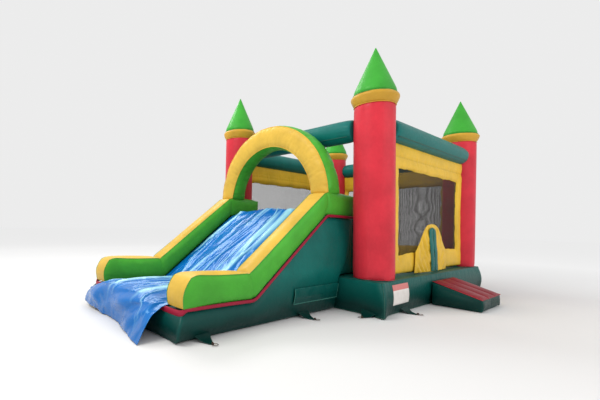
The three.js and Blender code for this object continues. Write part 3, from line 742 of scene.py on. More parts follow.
def make_towers():
    parts = tower_parts()
    slots = {"tower": "red_vinyl", "collar": "gold_vinyl", "cone": "green_vinyl"}
    z_foot = low("tower_front_left")[2]
    rings = {
        "collar": (1.015, low("collar_front_left")[2] - 0.004, "yellow", "gold_vinyl"),
        "cone": (1.075, low("cone_front_left")[2], "green", "green_vinyl"),
        "foot": (0.99, z_foot + 0.002, "red", "red_vinyl"),
    }
    angles, lean_height = circle(48), 2.2
    for number, name in enumerate(TOWERS):
        turn = Matrix.Rotation(number * math.pi / 2 + 0.35, 4, "Z")
        move = Matrix.Translation((*TOWER[name][:2], 0)) @ turn
        foot_shift = Vector((0.018, -0.024, 0)) if name == "front_left" else Vector()
        for kind, original in parts.items():
            piece = bpy.data.objects.new(f"{kind}_{name}_skin", original.data.copy())
            bpy.context.scene.collection.objects.link(piece)
            piece.data.transform(move)
            for vertex in piece.data.vertices:
                vertex.co += foot_shift * max(0.0, 1 - (vertex.co.z - z_foot) / lean_height)
            ride(piece, ROOT, slots[kind], f"{kind}_{name}", full=True)
        for kind, (share, z, colour, slot) in rings.items():
            r = TOWER_RADIUS * share
            path = np.stack([r * np.cos(angles), r * np.sin(angles), np.full(48, z)], 1)
            ring = tube(f"seam_{kind}_{name}", path, 0.006, f"seam_{colour}", closed=True)
            ring.data.transform(Matrix.Translation(foot_shift if kind == "foot" else Vector()) @ move)
            ride(ring, ROOT, slot)
    for original in parts.values():
        bpy.data.objects.remove(original)


# ---------------------------------------------------------------- base and floor


def rounded_plan(u, v, corner):
    """Shares of a plan from -1 to 1, its four corners rounded by corner, in shares of x and y."""
    a, b = 2 * u - 1, 2 * v - 1
    rx, ry = corner
    over_x = np.clip((np.abs(a) - (1 - rx)) / rx, 0, 1)
    over_y = np.clip((np.abs(b) - (1 - ry)) / ry, 0, 1)
    pull = 1 - np.sqrt(np.clip(1 - 0.5 * np.minimum(over_x, over_y) ** 2, 0, 1))
    return a - np.sign(a) * rx * pull, b - np.sign(b) * ry * pull


def make_base():
    size = BASE_HIGH - BASE_LOW
    centre = (BASE_HIGH + BASE_LOW) / 2

    def base(u, v, w):
        a, b = rounded_plan(u, v, (0.03, 0.035))
        corner = np.abs(a * b) ** 22 * np.where((a < 0) & (b < 0), 2.6, 1.0)
        swell = 0.050 * np.sin(math.pi * w) ** 0.8
        reach = swell - 0.030 + 0.045 * corner * (1 - w) + 0.02 * corner
        return (
            centre[0] + a * (size[0] / 2 + reach),
            centre[1] + b * (size[1] / 2 + reach),
            0.006 + (size[2] - 0.012) * w,
        )

    def cap(u, v, w):
        side = np.maximum(np.abs(2 * u - 1), np.abs(2 * v - 1)) > 0.999
        return np.where(side & (w > 0.001) & (w < 0.999), 0.030, 0.004)

    def between(points):
        points[:, 2] = np.clip(points[:, 2], OFF_GROUND, size[2] + 0.003)
        return points

    creases = {"size": size, "depth": 0.008, "pitch": 0.17, "reach": 0.10, "seed": 11}
    body = blown("base_skin", base, (76, 64, 10), "dark_green", cap, creases, between, pressure=3)
    ride(body, ROOT, "dark_green_vinyl", "base_chamber", full=True)
    for level, value in (("top", 1), ("bottom", 0)):
        sides = [
            edge_line(body, {1: 0, 2: value}),
            edge_line(body, {0: 1, 2: value}),
            edge_line(body, {1: 1, 2: value})[::-1],
            edge_line(body, {0: 0, 2: value})[::-1],
        ]
        path = np.concatenate([line[:-1] for line in sides])
        path[:, 2] = np.maximum(path[:, 2], 0.006)
        seam(f"base_seam_{level}", path, "dark", "dark_green_vinyl", 0.006, closed=True)
    for corner, fixed in enumerate(({0: 0, 1: 0}, {0: 1, 1: 0}, {0: 1, 1: 1}, {0: 0, 1: 1})):
        seam(f"base_seam_corner_{corner}", edge_line(body, fixed), "dark", "dark_green_vinyl")
    return body


def make_jump_mat():
    """The jumping floor: long ribs between the rows of inner webs."""
    lo, hi = low("jump_mat"), high("jump_mat")
    ribs = 9

    def mat(u, v, w):
        x = lo[0] + (hi[0] - lo[0]) * u
        y = lo[1] + (hi[1] - lo[1]) * v
        swell = np.abs(np.sin(math.pi * ribs * v)) ** 0.6 * np.minimum(1, np.minimum(u, 1 - u) / 0.04)
        for name in TOWERS:
            cx, cy = TOWER[name][:2]
            away = np.hypot(x - cx, y - cy)
            push = np.maximum(TOWER_RADIUS + 0.02 - away, 0) / np.maximum(away, 1e-6)
            x = x + (x - cx) * push
            y = y + (y - cy) * push
        return x, y, lo[2] + 0.002 + w * (0.006 + 0.035 * swell)

    piece = subdivide(soft_box("jump_floor", mat, (40, 72, 1), MATERIAL["teal"]))
    ride(piece, ROOT, "teal_vinyl", "jump_mat")


def make_beams():
    ends = {
        "front": ("front_left", "front_right"),
        "rear": ("rear_left", "rear_right"),
        "left": ("front_left", "rear_left"),
        "right": ("front_right", "rear_right"),
    }
    for seed, (side, (first, second)) in enumerate(ends.items()):
        node = f"beam_{side}"
        along, across = axes_of(side)
        centre, r = middle(node), span(node)[2] / 2
        start = TOWER[first][along] + TOWER_RADIUS * 0.93
        end = TOWER[second][along] - TOWER_RADIUS * 0.93
        length = end - start

        def beam(u, v, w, along=along, across=across, centre=centre, r=r, start=start, length=length):
            a, b = disc(2 * u - 1, 2 * v - 1)
            from_end = np.minimum(w, 1 - w) * length
            neck = 1 - 0.10 * np.exp(-from_end / 0.05)
            out = [None, None, centre[2] + b * (r - 0.012) * neck]
            out[along] = start + length * w
            out[across] = centre[across] + a * (r - 0.012) * neck
            return out

        size = (0.4, 0.4, length)
        creases = {"size": size, "depth": 0.010, "pitch": 0.10, "reach": 0.14, "seed": 20 + seed}
        counts = (8, 8, round(length / 0.042))
        piece = blown(f"{node}_skin", beam, counts, "teal", 0.026, {**creases, "axes": (2,)})
        ride(piece, ROOT, "teal_vinyl", node, full=True)
        line = np.zeros((60, 3))
        line[:, along] = np.linspace(start + 0.05, end - 0.05, 60)
        line[:, across] = centre[across]
        line[:, 2] = centre[2] - r * 0.55
        outward = np.zeros(3)
        outward[across] = 1.0 if centre[across] < ROOM_MIDDLE[across] else -1.0
        seam(f"seam_{node}", laid_on(line, surface(piece), outward, 0.001), "dark", "teal_vinyl")


# ---------------------------------------------------------------- walls, windows and nets


def lattice(low_value, high_value, stops, pitch=0.042):
    """Even steps between two values, with the nearest step moved onto each stop."""
    values = np.linspace(low_value, high_value, max(2, round((high_value - low_value) / pitch)) + 1)
    for stop in stops:
        values[np.argmin(np.abs(values - stop))] = stop
    return values


def bell(values, centre, width):
    return np.exp(-(((values - centre) / width) ** 2))


def panel_faces(solid):
    """The faces of a slab of cells: both sides of each solid cell, and a rim wherever a cell ends."""
    wide, tall = solid.shape
    layer = (wide + 1) * (tall + 1)
    neighbours = (((0, -1), 0, 1), ((1, 0), 1, 2), ((0, 1), 2, 3), ((-1, 0), 3, 0))
    faces = []
    for i, j in zip(*np.nonzero(solid)):
        ring = [x * (tall + 1) + y for x, y in ((i, j), (i + 1, j), (i + 1, j + 1), (i, j + 1))]
        faces += [ring, [layer + k for k in ring[::-1]]]
        for (di, dj), first, second in neighbours:
            x, y = i + di, j + dj
            if not (0 <= x < wide and 0 <= y < tall and solid[x, y]):
                faces.append([ring[second], ring[first], layer + ring[first], layer + ring[second]])
    return faces


def make_wall(side, seed):
    """A thin air panel with a window and, at the front, a doorway, creased where its header is sewn."""
    node, front = f"wall_{side}", side == "front"
    lo, hi = low(node), high(node)
    net_lo, net_hi = low(f"net_{side}"), high(f"net_{side}")
    along, across = axes_of(side)
    mid, half = (lo + hi)[across] / 2, (hi - lo)[across] / 2 - 0.014
    outward = 1 if mid > ROOM_MIDDLE[across] else -1
    left, right = net_lo[along] + 0.004, net_hi[along] - 0.004
    sill, head = net_lo[2] + 0.004, net_hi[2] - 0.004
    door = (DOOR_MIDDLE - 0.33, DOOR_MIDDLE + 0.33) if front else ()
    overlap = TOWER_RADIUS * 0.87
    a = lattice((NEAR_X, NEAR_Y)[along] + overlap, (FAR_X, FAR_Y)[along] - overlap, (left, right, *door))
    z = lattice(lo[2] + 0.006, hi[2] + 0.05, (sill, head))
    middle_a, middle_z = (a[1:] + a[:-1]) / 2, (z[1:] + z[:-1]) / 2
    solid = np.ones((len(a) - 1, len(z) - 1), bool)
    solid[np.ix_((middle_a > left) & (middle_a < right), (middle_z > sill) & (middle_z < head))] = False
    if door:
        solid[np.ix_((middle_a > door[0]) & (middle_a < door[1]), middle_z < sill)] = False

    grid_a, grid_z = np.meshgrid(a, z, indexing="ij")
    to_edge = np.minimum(np.abs(grid_a - left), np.abs(grid_a - right))
    wavy = 0.011 * np.sin(grid_z * 16 + seed) + 0.006 * np.sin(grid_z * 41)
    beside = (grid_z > sill - 0.01) & (grid_z < head + 0.01)
    shift_a = np.where(beside, wavy * np.exp(-to_edge / 0.05), 0)
    to_edge = np.minimum(np.abs(grid_z - sill), np.abs(grid_z - head))
    wavy = (0.004 if front else 0.008) * np.sin(grid_a * 11 + seed) + 0.002 * np.sin(grid_a * 31)
    above = (grid_a > left - 0.01) & (grid_a < right + 0.01)
    shift_z = np.where(above, wavy * np.exp(-to_edge / 0.05), 0)
    if front:
        drop = np.clip((head - grid_z) / (head - sill), 0, 1)
        shift_a += 0.072 * drop**0.6 * bell(grid_a, left, 0.16)
        shift_a += 0.035 * bell(grid_a, right, 0.12)
        away = np.clip((right - grid_a) / (right - left), 0, 1)
        shift_z += 0.022 * bell(grid_z, head, 0.10)
        shift_z -= 0.050 * away * bell(grid_z, sill, 0.12)

    fold = head + (hi[2] - head) * 0.52
    off_a = np.maximum(np.maximum(left - grid_a, grid_a - right), 0)
    off_z = np.maximum(np.maximum(sill - grid_z, grid_z - head), 0)
    thin = (2 * half - 0.012) * np.exp(-np.hypot(off_a, off_z) / 0.10)
    depth = half - 0.020 * bell(grid_z, fold, 0.02)
    points = np.zeros((2, *grid_a.shape, 3))
    points[..., along] = grid_a + shift_a
    points[..., 2] = grid_z + shift_z
    points[0, ..., across] = mid + outward * depth
    points[1, ..., across] = mid - outward * (depth - thin)
    points = points.reshape(-1, 3)

    faces = np.array(panel_faces(solid))
    used, faces = np.unique(faces, return_inverse=True)
    points, faces = points[used], faces.reshape(-1, 4)
    corners = points[faces]
    facing = np.cross(corners[:, 1] - corners[:, 0], corners[:, 2] - corners[:, 0])
    if (corners[:, 0] * facing).sum() < 0:
        faces = faces[:, ::-1]
    piece = new_object(f"{node}_skin", points, faces, MATERIAL["yellow"])
    inflate(piece, 0.020, pressure=3, growth=0.01)
    subdivide(piece)

    points, normals = read(piece, "co"), read(piece, "normal")
    place, height = points[:, along], points[:, 2]
    near = [np.abs(place - left), np.abs(place - right)]
    near += [np.abs(height - value) for value in (sill, head, lo[2])]
    near_edge = np.exp(-np.min(near, axis=0) / 0.06)
    crease = np.maximum(np.exp(-np.abs(height - fold) / 0.07), near_edge)
    ripple = waves(place + 0.4 * height, seed, 0.14)
    points += normals * (0.007 * ripple * crease)[:, None]
    points[:, across] -= outward * 0.010 * bell(points[:, 2], fold, 0.012)
    set_points(piece, points)
    ride(piece, ROOT, "yellow_vinyl", node, full=True)


def make_net(side):
    """Cord netting in a window: crossed threads that sag a little between the sewn edges."""
    node = f"net_{side}"
    lo, hi = low(node), high(node)
    along, across = axes_of(side)
    inward = 1 if (lo + hi)[across] / 2 < ROOM_MIDDLE[across] else -1
    plane = (lo + hi)[across] / 2 + 0.024 * inward
    pitch, thread, tuck, steps = 0.018, 0.0018, 0.05, 10
    length, height = (hi - lo)[along] + 2 * tuck, (hi - lo)[2] + 2 * tuck
    columns, rows = round(length / pitch), round(height / pitch)
    corner_a = np.array([-1, 1, 1, -1]) * thread
    corner_b = np.array([-1, -1, 1, 1]) * thread
    share = np.linspace(0, 1, steps + 1)
    uneven = np.random.default_rng(SEED + 5).uniform(-0.06, 0.06, columns + rows + 2)
    uneven[[0, columns, columns + 1, columns + rows + 1]] = 0
    strands = [((i + uneven[i]) / columns, True) for i in range(columns + 1)]
    strands += [((i + uneven[columns + 1 + i]) / rows, False) for i in range(rows + 1)]
    points, faces = [], []
    for number, (place, upright) in enumerate(strands):
        u = np.full(steps + 1, place) if upright else share
        v = share if upright else np.full(steps + 1, place)
        belly = np.sin(math.pi * u) * np.sin(math.pi * v)
        line = np.zeros((steps + 1, 4, 3))
        sway = 0.006 * np.sin(7 * v * math.pi + 2 * u) * belly
        sag = 0.012 * belly + 0.004 * np.sin(9 * u * math.pi) * belly
        line[..., along] = (lo[along] - tuck + length * u + sway)[:, None]
        line[..., 2] = (lo[2] - tuck + height * v - sag)[:, None]
        line[..., across] = plane + (thread if upright else -thread) * 0.6
        line[..., along if upright else 2] += corner_a
        line[..., across] += corner_b
        points.append(line.reshape(-1, 3))
        first = number * 4 * (steps + 1)
        for i, k in np.ndindex(steps, 4):
            base, m = first + 4 * i, (k + 1) % 4
            faces.append((base + k, base + m, base + 4 + m, base + 4 + k))
        last = first + 4 * steps
        faces += [(first + 3, first + 2, first + 1, first), (last, last + 1, last + 2, last + 3)]
    piece = new_object(f"{node}_mesh", np.concatenate(points), faces, MATERIAL["net"])
    ride(piece, ROOT, "netting", node)


# ---------------------------------------------------------------- entrance


def make_ramp():
    lo, hi = low("ramp_chamber"), high("ramp_chamber")
    front_z, back_z = low("ramp_pad")[2] - 0.002, hi[2]

    def top_at(share):
        return front_z + (back_z - front_z) * share

    def wedge(u, v, w):
        x = lo[0] + (hi[0] - lo[0]) * u
        y = lo[1] + 0.002 + (hi[1] - lo[1] - 0.007) * v
        return x, y, 0.004 + (top_at(v) - 0.008) * w

    def cap(u, v, w):
        return np.where(w > 0.999, 0.004, 0.022)

    creases = {"size": hi - lo, "depth": 0.006, "pitch": 0.11, "reach": 0.06, "seed": 31}
    body = blown("ramp_skin", wedge, (24, 18, 7), "dark_green", cap, creases, off_ground)
    ride(body, ROOT, "dark_green_vinyl", "ramp_chamber", full=True)

    def across(share):
        return lo[0] + 0.008 + (hi[0] - lo[0] - 0.016) * share

    def pad(u, v, w):
        y = lo[1] + 0.006 + (hi[1] - lo[1] - 0.021) * v
        tubes = np.abs(np.sin(3 * math.pi * u)) ** 0.55
        ends = np.minimum(1, np.minimum(v, 1 - v) / 0.06) ** 0.5
        return across(u), y, top_at(v) - 0.006 + w * (0.008 + 0.030 * tubes * ends)

    cover = subdivide(soft_box("ramp_pad_skin", pad, (36, 20, 1), MATERIAL["ramp"]))
    pucker(cover, (0.9, 0.7, 0.05), depth=0.005, pitch=0.09, reach=0.08, seed=32, axes=(1,))
    ride(cover, ROOT, "red_vinyl", "ramp_pad", full=True)
    y = np.linspace(lo[1] + 0.006, hi[1] - 0.015, 24)
    z = top_at((y - y[0]) / (y[-1] - y[0])) + 0.003
    for i in range(4):
        seam(f"ramp_seam_{i}", np.stack([np.full(24, across(i / 3)), y, z], 1), "red", "red_vinyl")


def make_doors():
    lo, top = low("door_flap_left"), high("door_flap_left")[2]
    face = high("door_flap_left")[1] + 0.002
    bottom, sill = lo[2], low("net_front")[2]

    def bell_half(z):
        """The half width of the entrance curtain at a height: a bell that is widest at the sill."""
        drop = np.clip((top - z) / (top - sill), 0, 1)
        below = np.clip((sill - z) / (sill - bottom), 0, 1)
        return 0.012 + 0.53 * drop**0.38 + 0.11 * drop**4 + 0.03 * below

    def strip_bow(z):
        """How far the strip down the middle bows towards the hinge of the left curtain."""
        share = np.clip((top - z) / (top - bottom), 0, 1)
        return -0.048 * np.cos(share * math.pi / 2) ** 0.8

    def bell_depth(x, z):
        """How far the curtain stands out from its hem plane: a soft hump that grows towards the sill."""
        drop = np.clip((top - z) / (top - sill), 0, 1.2)
        return (0.004 + 0.034 * drop) * bell(x, DOOR_MIDDLE, 0.40)

    for side, name in ((-1, "left"), (1, "right")):
        edge = DOOR_MIDDLE + side * 0.003

        def curtain(u, v, side=side, edge=edge):
            z = bottom + (top - bottom) * v
            x = edge + side * bell_half(z) * u + strip_bow(z) * (1 - u)
            out = bell_depth(x, z) * np.clip((1 - u) / 0.12, 0, 1) ** 0.5
            soft = np.clip((1 - u) / 0.2, 0, 1) * np.clip(u / 0.2, 0, 1)
            fan = np.arctan2(x - DOOR_MIDDLE, z - sill + 0.75)
            wrinkle = 0.010 * np.abs(np.sin(21 * fan + 2.2 * z)) + 0.005 * np.sin(37 * fan - 5 * z)
            return x, face - 0.006 - out - wrinkle * soft * np.clip((top - z) / 0.25, 0, 1), z

        piece = sheet_grid(f"door_curtain_{name}", curtain, (30, 44), MATERIAL["yellow"])
        relax(piece, frames=10, growth=0.025, cap=0.010)
        thicken(piece, 0.003)
        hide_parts(f"door_flap_{name}")
        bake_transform(piece)

        binding = f"door_binding_{name}"
        wide, foot, crest = span(binding)[0], low(binding)[2], high(binding)[2]

        def strip(u, v, w, side=side, edge=edge, wide=wide, foot=foot, crest=crest):
            z = foot + (crest - foot) * v
            round_top = np.clip((crest - z) / 0.05, 0, 1) ** 0.5
            x = edge + side * wide * u * 1.3 * round_top + strip_bow(z)
            crown = 0.006 * np.sin(math.pi * u) + 0.002 * np.sin(23 * z + side)
            return x, face - 0.021 - bell_depth(x, z) - crown - w * 0.004, z

        piece = subdivide(soft_box(f"door_strip_{name}", strip, (6, 44, 1), MATERIAL["dark_green"]))
        ride(piece, f"door_{name}", "teal_vinyl", binding)


# ---------------------------------------------------------------- slide


def bed_height(x):
    """The height of the slide's seam line at x."""
    return np.interp(x, [SLIDE_FRONT, SLIDE_BEND, SLIDE_TOP, SLIDE_REAR], [TRIM_Z, TRIM_Z, DECK_Z, DECK_Z])


def crown_at(y):
    share = np.clip((y - BED_NEAR) / (BED_FAR - BED_NEAR), 0, 1)
    return CROWN * (1 - (2 * share - 1) ** 2)


def clear_of_zip(points):
    """Draws the near side in round the zip cover, which is sewn along its top edge and folds up."""
    lo, hi = low("zip_cover_flap"), high("zip_cover_flap")
    across = (points[:, 0] - (lo + hi)[0] / 2) / ((hi - lo)[0] / 2 + 0.24)
    upwards = (points[:, 2] - hi[2] + 0.02) / 0.30
    calm = np.exp(-(across**8)) * np.exp(-(upwards**6))
    limit = hi[1] - 0.004 + 0.020 * bell(points[:, 2], hi[2], 0.04) - 0.12 * (1 - calm)
    points[:, 1] = np.maximum(points[:, 1], limit)
    return off_ground(points)


def make_slide_body():
    def body_map(u, v, w):
        swell = 0.085 * np.sin(math.pi * w) ** 0.8
        corner = np.clip(1 - u / 0.03, 0, 1) * np.abs(2 * v - 1) ** 12 * (1 - w)
        front = SLIDE_FRONT + 0.04 + 0.06 * w**1.5 - swell * 0.75 - 0.03 * corner
        top = bed_height(front + (SLIDE_REAR - front) * u)
        rise = np.clip((top * w - FLOOR - 0.02) / (DECK_Z - FLOOR), 0, 1)
        rear = SLIDE_REAR - 0.002 + (DECK_END - 0.03 - SLIDE_REAR) * rise**0.6
        x = front + (rear - front) * u
        reach = swell - 0.045 + 0.03 * corner
        y = SLIDE_NEAR - reach + (SLIDE_FAR - SLIDE_NEAR + 2 * reach) * v
        top = bed_height(x) + crown_at(y) - 0.006
        return x, y, 0.004 + (top - 0.004) * w

    def cap(u, v, w):
        loose = (u < 0.001) | (np.minimum(v, 1 - v) < 0.001)
        return np.where(loose & (w > 0.001) & (w < 0.999), 0.030, 0.003)

    creases = {"size": (3.0, 2.4, 0.6), "depth": 0.008, "pitch": 0.13, "reach": 0.08, "seed": 41}
    counts = (58, 44, 12)
    body = blown("slide_body_skin", body_map, counts, "dark_green", cap, creases, clear_of_zip, pressure=3)
    chambers = [f"slide_{part}_chamber" for part in ("front", "slope", "deck")]
    return ride(body, ROOT, "dark_green_vinyl", *chambers, full=True)


def make_slide_wall(side, seed):
    """A side wall of the slide in one piece over its run, slope and deck. It gives its lower edge."""
    node = f"slide_wall_{side}"
    y0, y1 = low(f"{node}_run")[1], high(f"{node}_run")[1]
    start, bend, long = SLIDE_FRONT + 0.09, 0.08, 3.9
    lower = np.array([(start, TRIM_Z), (SLIDE_BEND, TRIM_Z), (SLIDE_TOP, DECK_Z), (DECK_END, DECK_Z)])
    upper = np.array([
        (start + 0.06, RUN_TOP), (SLIDE_BEND - bend, RUN_TOP), (SLIDE_TOP, DECK_TOP), (DECK_END, DECK_TOP),
    ])
    knots = line_lengths((lower + upper) / 2)
    knots = knots / knots[-1]

    def wall(u, v, w):
        bottom = np.stack([np.interp(u, knots, lower[:, k]) for k in (0, 1)])
        top = np.stack([np.interp(u, knots, upper[:, k]) for k in (0, 1)])
        x, z = bottom + (top - bottom) * v
        x = x - 0.10 * v * (1 - v) * np.clip(1 - u / 0.06, 0, 1) * 2.0
        z = z - 0.03 * v * np.clip(1 - u / 0.035, 0, 1) ** 2
        pinch = 0.010 * sum(np.exp(-(((u - k) * long / 0.05) ** 2)) for k in knots[1:3])
        y = y0 + 0.022 + pinch + (y1 - y0 - 0.044 - 2 * pinch) * w
        full = np.clip(1 - u / 0.16, 0, 1) ** 1.5
        y = y - full * ((0.038 + 0.034 * v) * (1 - w) if side == "near" else 0.075 * (1 - w) + 0.035 * w)
        return x, y, z - 0.012 * (2 * v - 1)

    def cap(u, v, w):
        return np.where(v < 0.001, 0.006, 0.036)

    creases = {"size": (long, 0.37, 0.32), "depth": 0.008, "pitch": 0.12, "reach": 0.07, "seed": seed}
    piece = blown(f"{node}_skin", wall, (92, 9, 8), "lime", cap, creases)
    points, uvw = read(piece, "co"), read(piece, "uvw")
    for knot in knots[1:3]:
        away = np.abs(uvw[:, 0] - knot) * long
        fold = 0.016 * np.exp(-((away / 0.022) ** 2)) * (0.35 + 0.65 * (uvw[:, 1] > 0.999))
        points -= read(piece, "normal") * fold[:, None]
    set_points(piece, points)
    lines = {
        label: (edge_line(piece, {0: 0, 2: w}), edge_line(piece, {1: 1, 2: w}))
        for label, w in (("inner", 1), ("outer", 0))
    }
    low_edge = edge_line(piece, {1: 0, 2: 0 if side == "near" else 1})

    def yellow(uvw, places):
        top = (uvw[:, 1] > 0.9999) & (places[:, 0] < SLIDE_TOP + 0.03)
        return top | (uvw[:, 0] < 1e-4)

    green, gold = split(piece, yellow, f"{node}_top_panel", "slide_yellow")
    ride(green, ROOT, "green_vinyl", *[f"{node}_{part}" for part in ("run", "slope", "deck")], full=True)
    ride(gold, ROOT, "yellow_vinyl", full=True)
    for label, (rise, run) in lines.items():
        path = np.concatenate([rise[:-1], run[run[:, 0] < SLIDE_TOP + 0.03]])
        seam(f"seam_{node}_{label}", path, "green", "green_vinyl")
    return low_edge


def make_arch():
    lo, hi = low("slide_arch"), high("slide_arch")
    mid_y, outer_y, band = (lo + hi)[1] / 2, (hi - lo)[1] / 2, 0.35
    foot = lo[2] - 0.035
    outer_z = hi[2] - foot + 0.02

    def arch(u, v, w):
        angle = math.pi * u
        wide = 0.285 + (band - 0.265) * np.sin(angle) ** 0.7
        fuller = 0.004 * (2 * v - 1) - 0.016 * v
        y = mid_y - (outer_y - wide + wide * v - fuller) * np.cos(angle)
        z = foot + (outer_z - wide + wide * v - fuller) * np.sin(angle) - 0.004
        return lo[0] + 0.008 + (hi[0] - lo[0] + 0.012) * w, y, z

    def cap(u, v, w):
        return np.where(np.minimum(u, 1 - u) < 0.004, 0.010, 0.036)

    size = (math.pi * (outer_y - band / 2), band, 0.32)
    creases = {"size": size, "depth": 0.016, "pitch": 0.17, "reach": 0.11, "seed": 52, "closed": (0,)}
    piece = blown("slide_arch_skin", arch, (84, 8, 8), "lime", cap, creases)
    lines = {label: edge_line(piece, {1: v, 2: 0}) for label, v in (("inner", 0), ("outer", 1))}
    green, gold = split(piece, lambda uvw, _: uvw[:, 2] < 1e-4, "slide_arch_front_panel", "slide_yellow")
    ride(green, ROOT, "green_vinyl", full=True)
    ride(gold, ROOT, "yellow_vinyl", "slide_arch", full=True)
    for label, path in lines.items():
        seam(f"seam_arch_{label}", path, "yellow", "yellow_vinyl", 0.006)


def make_trim(near, far):
    """The red trim under both side walls and, wider, across the front."""
    near = near[near[:, 0] < DECK_END - 0.02]
    far = far[far[:, 0] < TOWER["rear_left"][0] - TOWER_RADIUS]
    near[:, 1] = SLIDE_NEAR + 0.006
    far[:, 1] = SLIDE_FAR - 0.006 - 0.030 * np.exp(-(far[:, 0] - far[0][0]) / 0.2)
    front_x = near[0][0] - 0.012
    y = np.linspace(near[0][1], far[0][1], 60)
    across = np.stack([np.full(60, front_x), y, np.full(60, TRIM_Z)], 1)
    path = np.concatenate([near[:0:-1], across, far[1:]])
    path[:, 2] -= 0.018
    wide = np.where(path[:, 0] < front_x + 0.002, 1.0, 0.0)
    for _ in range(3):
        path[1:-1] = (path[:-2] + 2 * path[1:-1] + path[2:]) / 4
        wide[1:-1] = (wide[:-2] + 2 * wide[1:-1] + wide[2:]) / 4
    path[:, 2] -= 0.012 * wide
    band = tube("slide_trim_band", path, 0.011, "trim", sides=12, flat=1.9 + 1.4 * wide)
    ride(band, ROOT, "trim_vinyl", "slide_trim")


def cover_wrinkles(s, v):
    """The height of the cover's wrinkles at a length s from the deck end and a share v across it."""
    rng = np.random.default_rng(SEED)
    lift = np.zeros_like(s)

    def wrinkle(line, start, length, width, height, power):
        across = np.clip(1 - np.abs(v - line) / width, 0, 1)
        return np.maximum(lift, height * across**power * np.exp(-(((s - start) / length) ** 2)))

    for _ in range(34):
        centre, drift = rng.uniform(0.03, 0.97), rng.uniform(-0.09, 0.09)
        start, length = rng.uniform(-0.3, 2.9), rng.uniform(0.45, 1.5)
        width, height = rng.uniform(0.014, 0.040), rng.uniform(0.014, 0.046)
        away = (s - start) / length
        line = centre + drift * away + 0.012 * np.sin(7 * away + centre * 9)
        lift = wrinkle(line, start, length, width, height, 1.3)
    for _ in range(26):
        centre, tilt = rng.uniform(0.0, 1.0), rng.uniform(-0.55, 0.55)
        start, length = rng.uniform(2.75, 3.75), rng.uniform(0.18, 0.5)
        width, height = rng.uniform(0.012, 0.030), rng.uniform(0.014, 0.040)
        lift = wrinkle(centre + tilt * (s - start) * 0.5, start, length, width, height, 1.2)
    for _ in range(9):
        centre, drift = rng.uniform(0.08, 0.92), rng.uniform(-0.12, 0.12)
        start, length = rng.uniform(0.2, 2.9), rng.uniform(0.5, 1.1)
        width, height = rng.uniform(0.05, 0.10), rng.uniform(0.030, 0.055)
        lift = wrinkle(centre + drift * (s - start) / length, start, length, width, height, 1)
    return lift * np.clip(np.minimum(v, 1 - v) / 0.04, 0, 1)


def make_cover():
    """The loose cover: along the bed, wrinkled lengthwise, over the front lip and down to the ground."""
    lip_x = SLIDE_FRONT + 0.03
    xs = np.linspace(high("slide_cover")[0] - 0.02, lip_x, 400)
    run = line_lengths(np.stack([xs, bed_height(xs)], 1))
    bed, longest = run[-1], 0.46
    total = bed + longest
    inset = 0.010
    bed_near, bed_wide = BED_NEAR + inset, BED_FAR - BED_NEAR - 2 * inset
    near, far = BED_NEAR - 0.075, BED_FAR + 0.20

    def cover(u, v):
        s = u * total
        x = np.interp(np.clip(s, 0, bed), run, xs)
        flat_y = bed_near + bed_wide * v
        fall = np.clip((s - bed) / longest, 0, 1)
        hem_x = SLIDE_FRONT - np.interp(v, [0, 0.50, 0.68, 0.80, 1.0], [0.290, 0.070, 0.07, 0.12, 0.06])
        hem_y = near + (far - near) * v
        hem_z = np.interp(v, [0, 0.68, 0.80, 1.0], [0.008, 0.010, 0.040, 0.080])
        y = flat_y + (hem_y - flat_y) * (fall + (fall**0.5 - fall) * v)
        z = bed_height(x) + crown_at(flat_y) + 0.010 + cover_wrinkles(s, v) * (1 - fall) ** 2
        knee_x = SLIDE_FRONT - 0.085
        x = (1 - fall) ** 2 * x + 2 * fall * (1 - fall) * knee_x + fall**2 * hem_x
        dip = 0.020 * np.clip((s - (bed - 0.12)) / 0.12, 0, 1) ** 2
        z = (1 - fall**2) * (z - dip) + fall**2 * hem_z
        down = np.clip(fall * 2.2, 0, 1) * (1 - 0.55 * fall)
        fan = np.arctan2(1.7 * v + 0.30, 0.12 + 0.50 * fall)
        folds = 0.050 * np.abs(np.sin(11 * fan + 3.1 * v)) ** 1.4 + 0.022 * np.sin(23 * fan - 4 * v + 1)
        folds = folds + 0.016 * np.sin(2 * math.pi * (2.3 * v + 0.9 * fall**2))
        return x - folds * down, y, np.maximum(z, 0.007)

    def above_bed(points):
        """Keeps the sheet out of the bed and off the ground."""
        x, y, z = points.T
        over = x > lip_x - 0.005
        least = bed_height(x) + crown_at(np.clip(y, BED_NEAR, BED_FAR)) + 0.004 - 0.02 * (x < lip_x + 0.12)
        points[:, 2] = np.where(over, np.maximum(z, least), z)
        points[:, 0] = np.where(over | (z >= TRIM_Z - 0.05), x, np.minimum(x, SLIDE_FRONT - 0.045))
        points[:, 2] = np.maximum(z, 0.006)
        return points

    piece = sheet_grid("slide_cover_sheet", cover, (190, 130), MATERIAL["blue"])
    u, v, _ = read(piece, "uvw").T
    s = u * total
    hanging = np.clip((s - bed) / longest, 0, 1)
    # Marks the wrinkle crests that get the blue film's painted highlight.
    keep(piece, "crest", np.clip((cover_wrinkles(s, v) - 0.018) / 0.022, 0, 0.8) * (1 - hanging))
    pinned = ((np.minimum(v, 1 - v) < 0.012) & (s < bed)) | (u < 0.01)
    relax(piece, frames=14, growth=0.02, cap=0.016, pinned=pinned, limit=above_bed)
    thicken(piece, 0.003)
    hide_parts("slide_cover", "cover_apron")
    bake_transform(piece)


# ---------------------------------------------------------------- stair inside the room


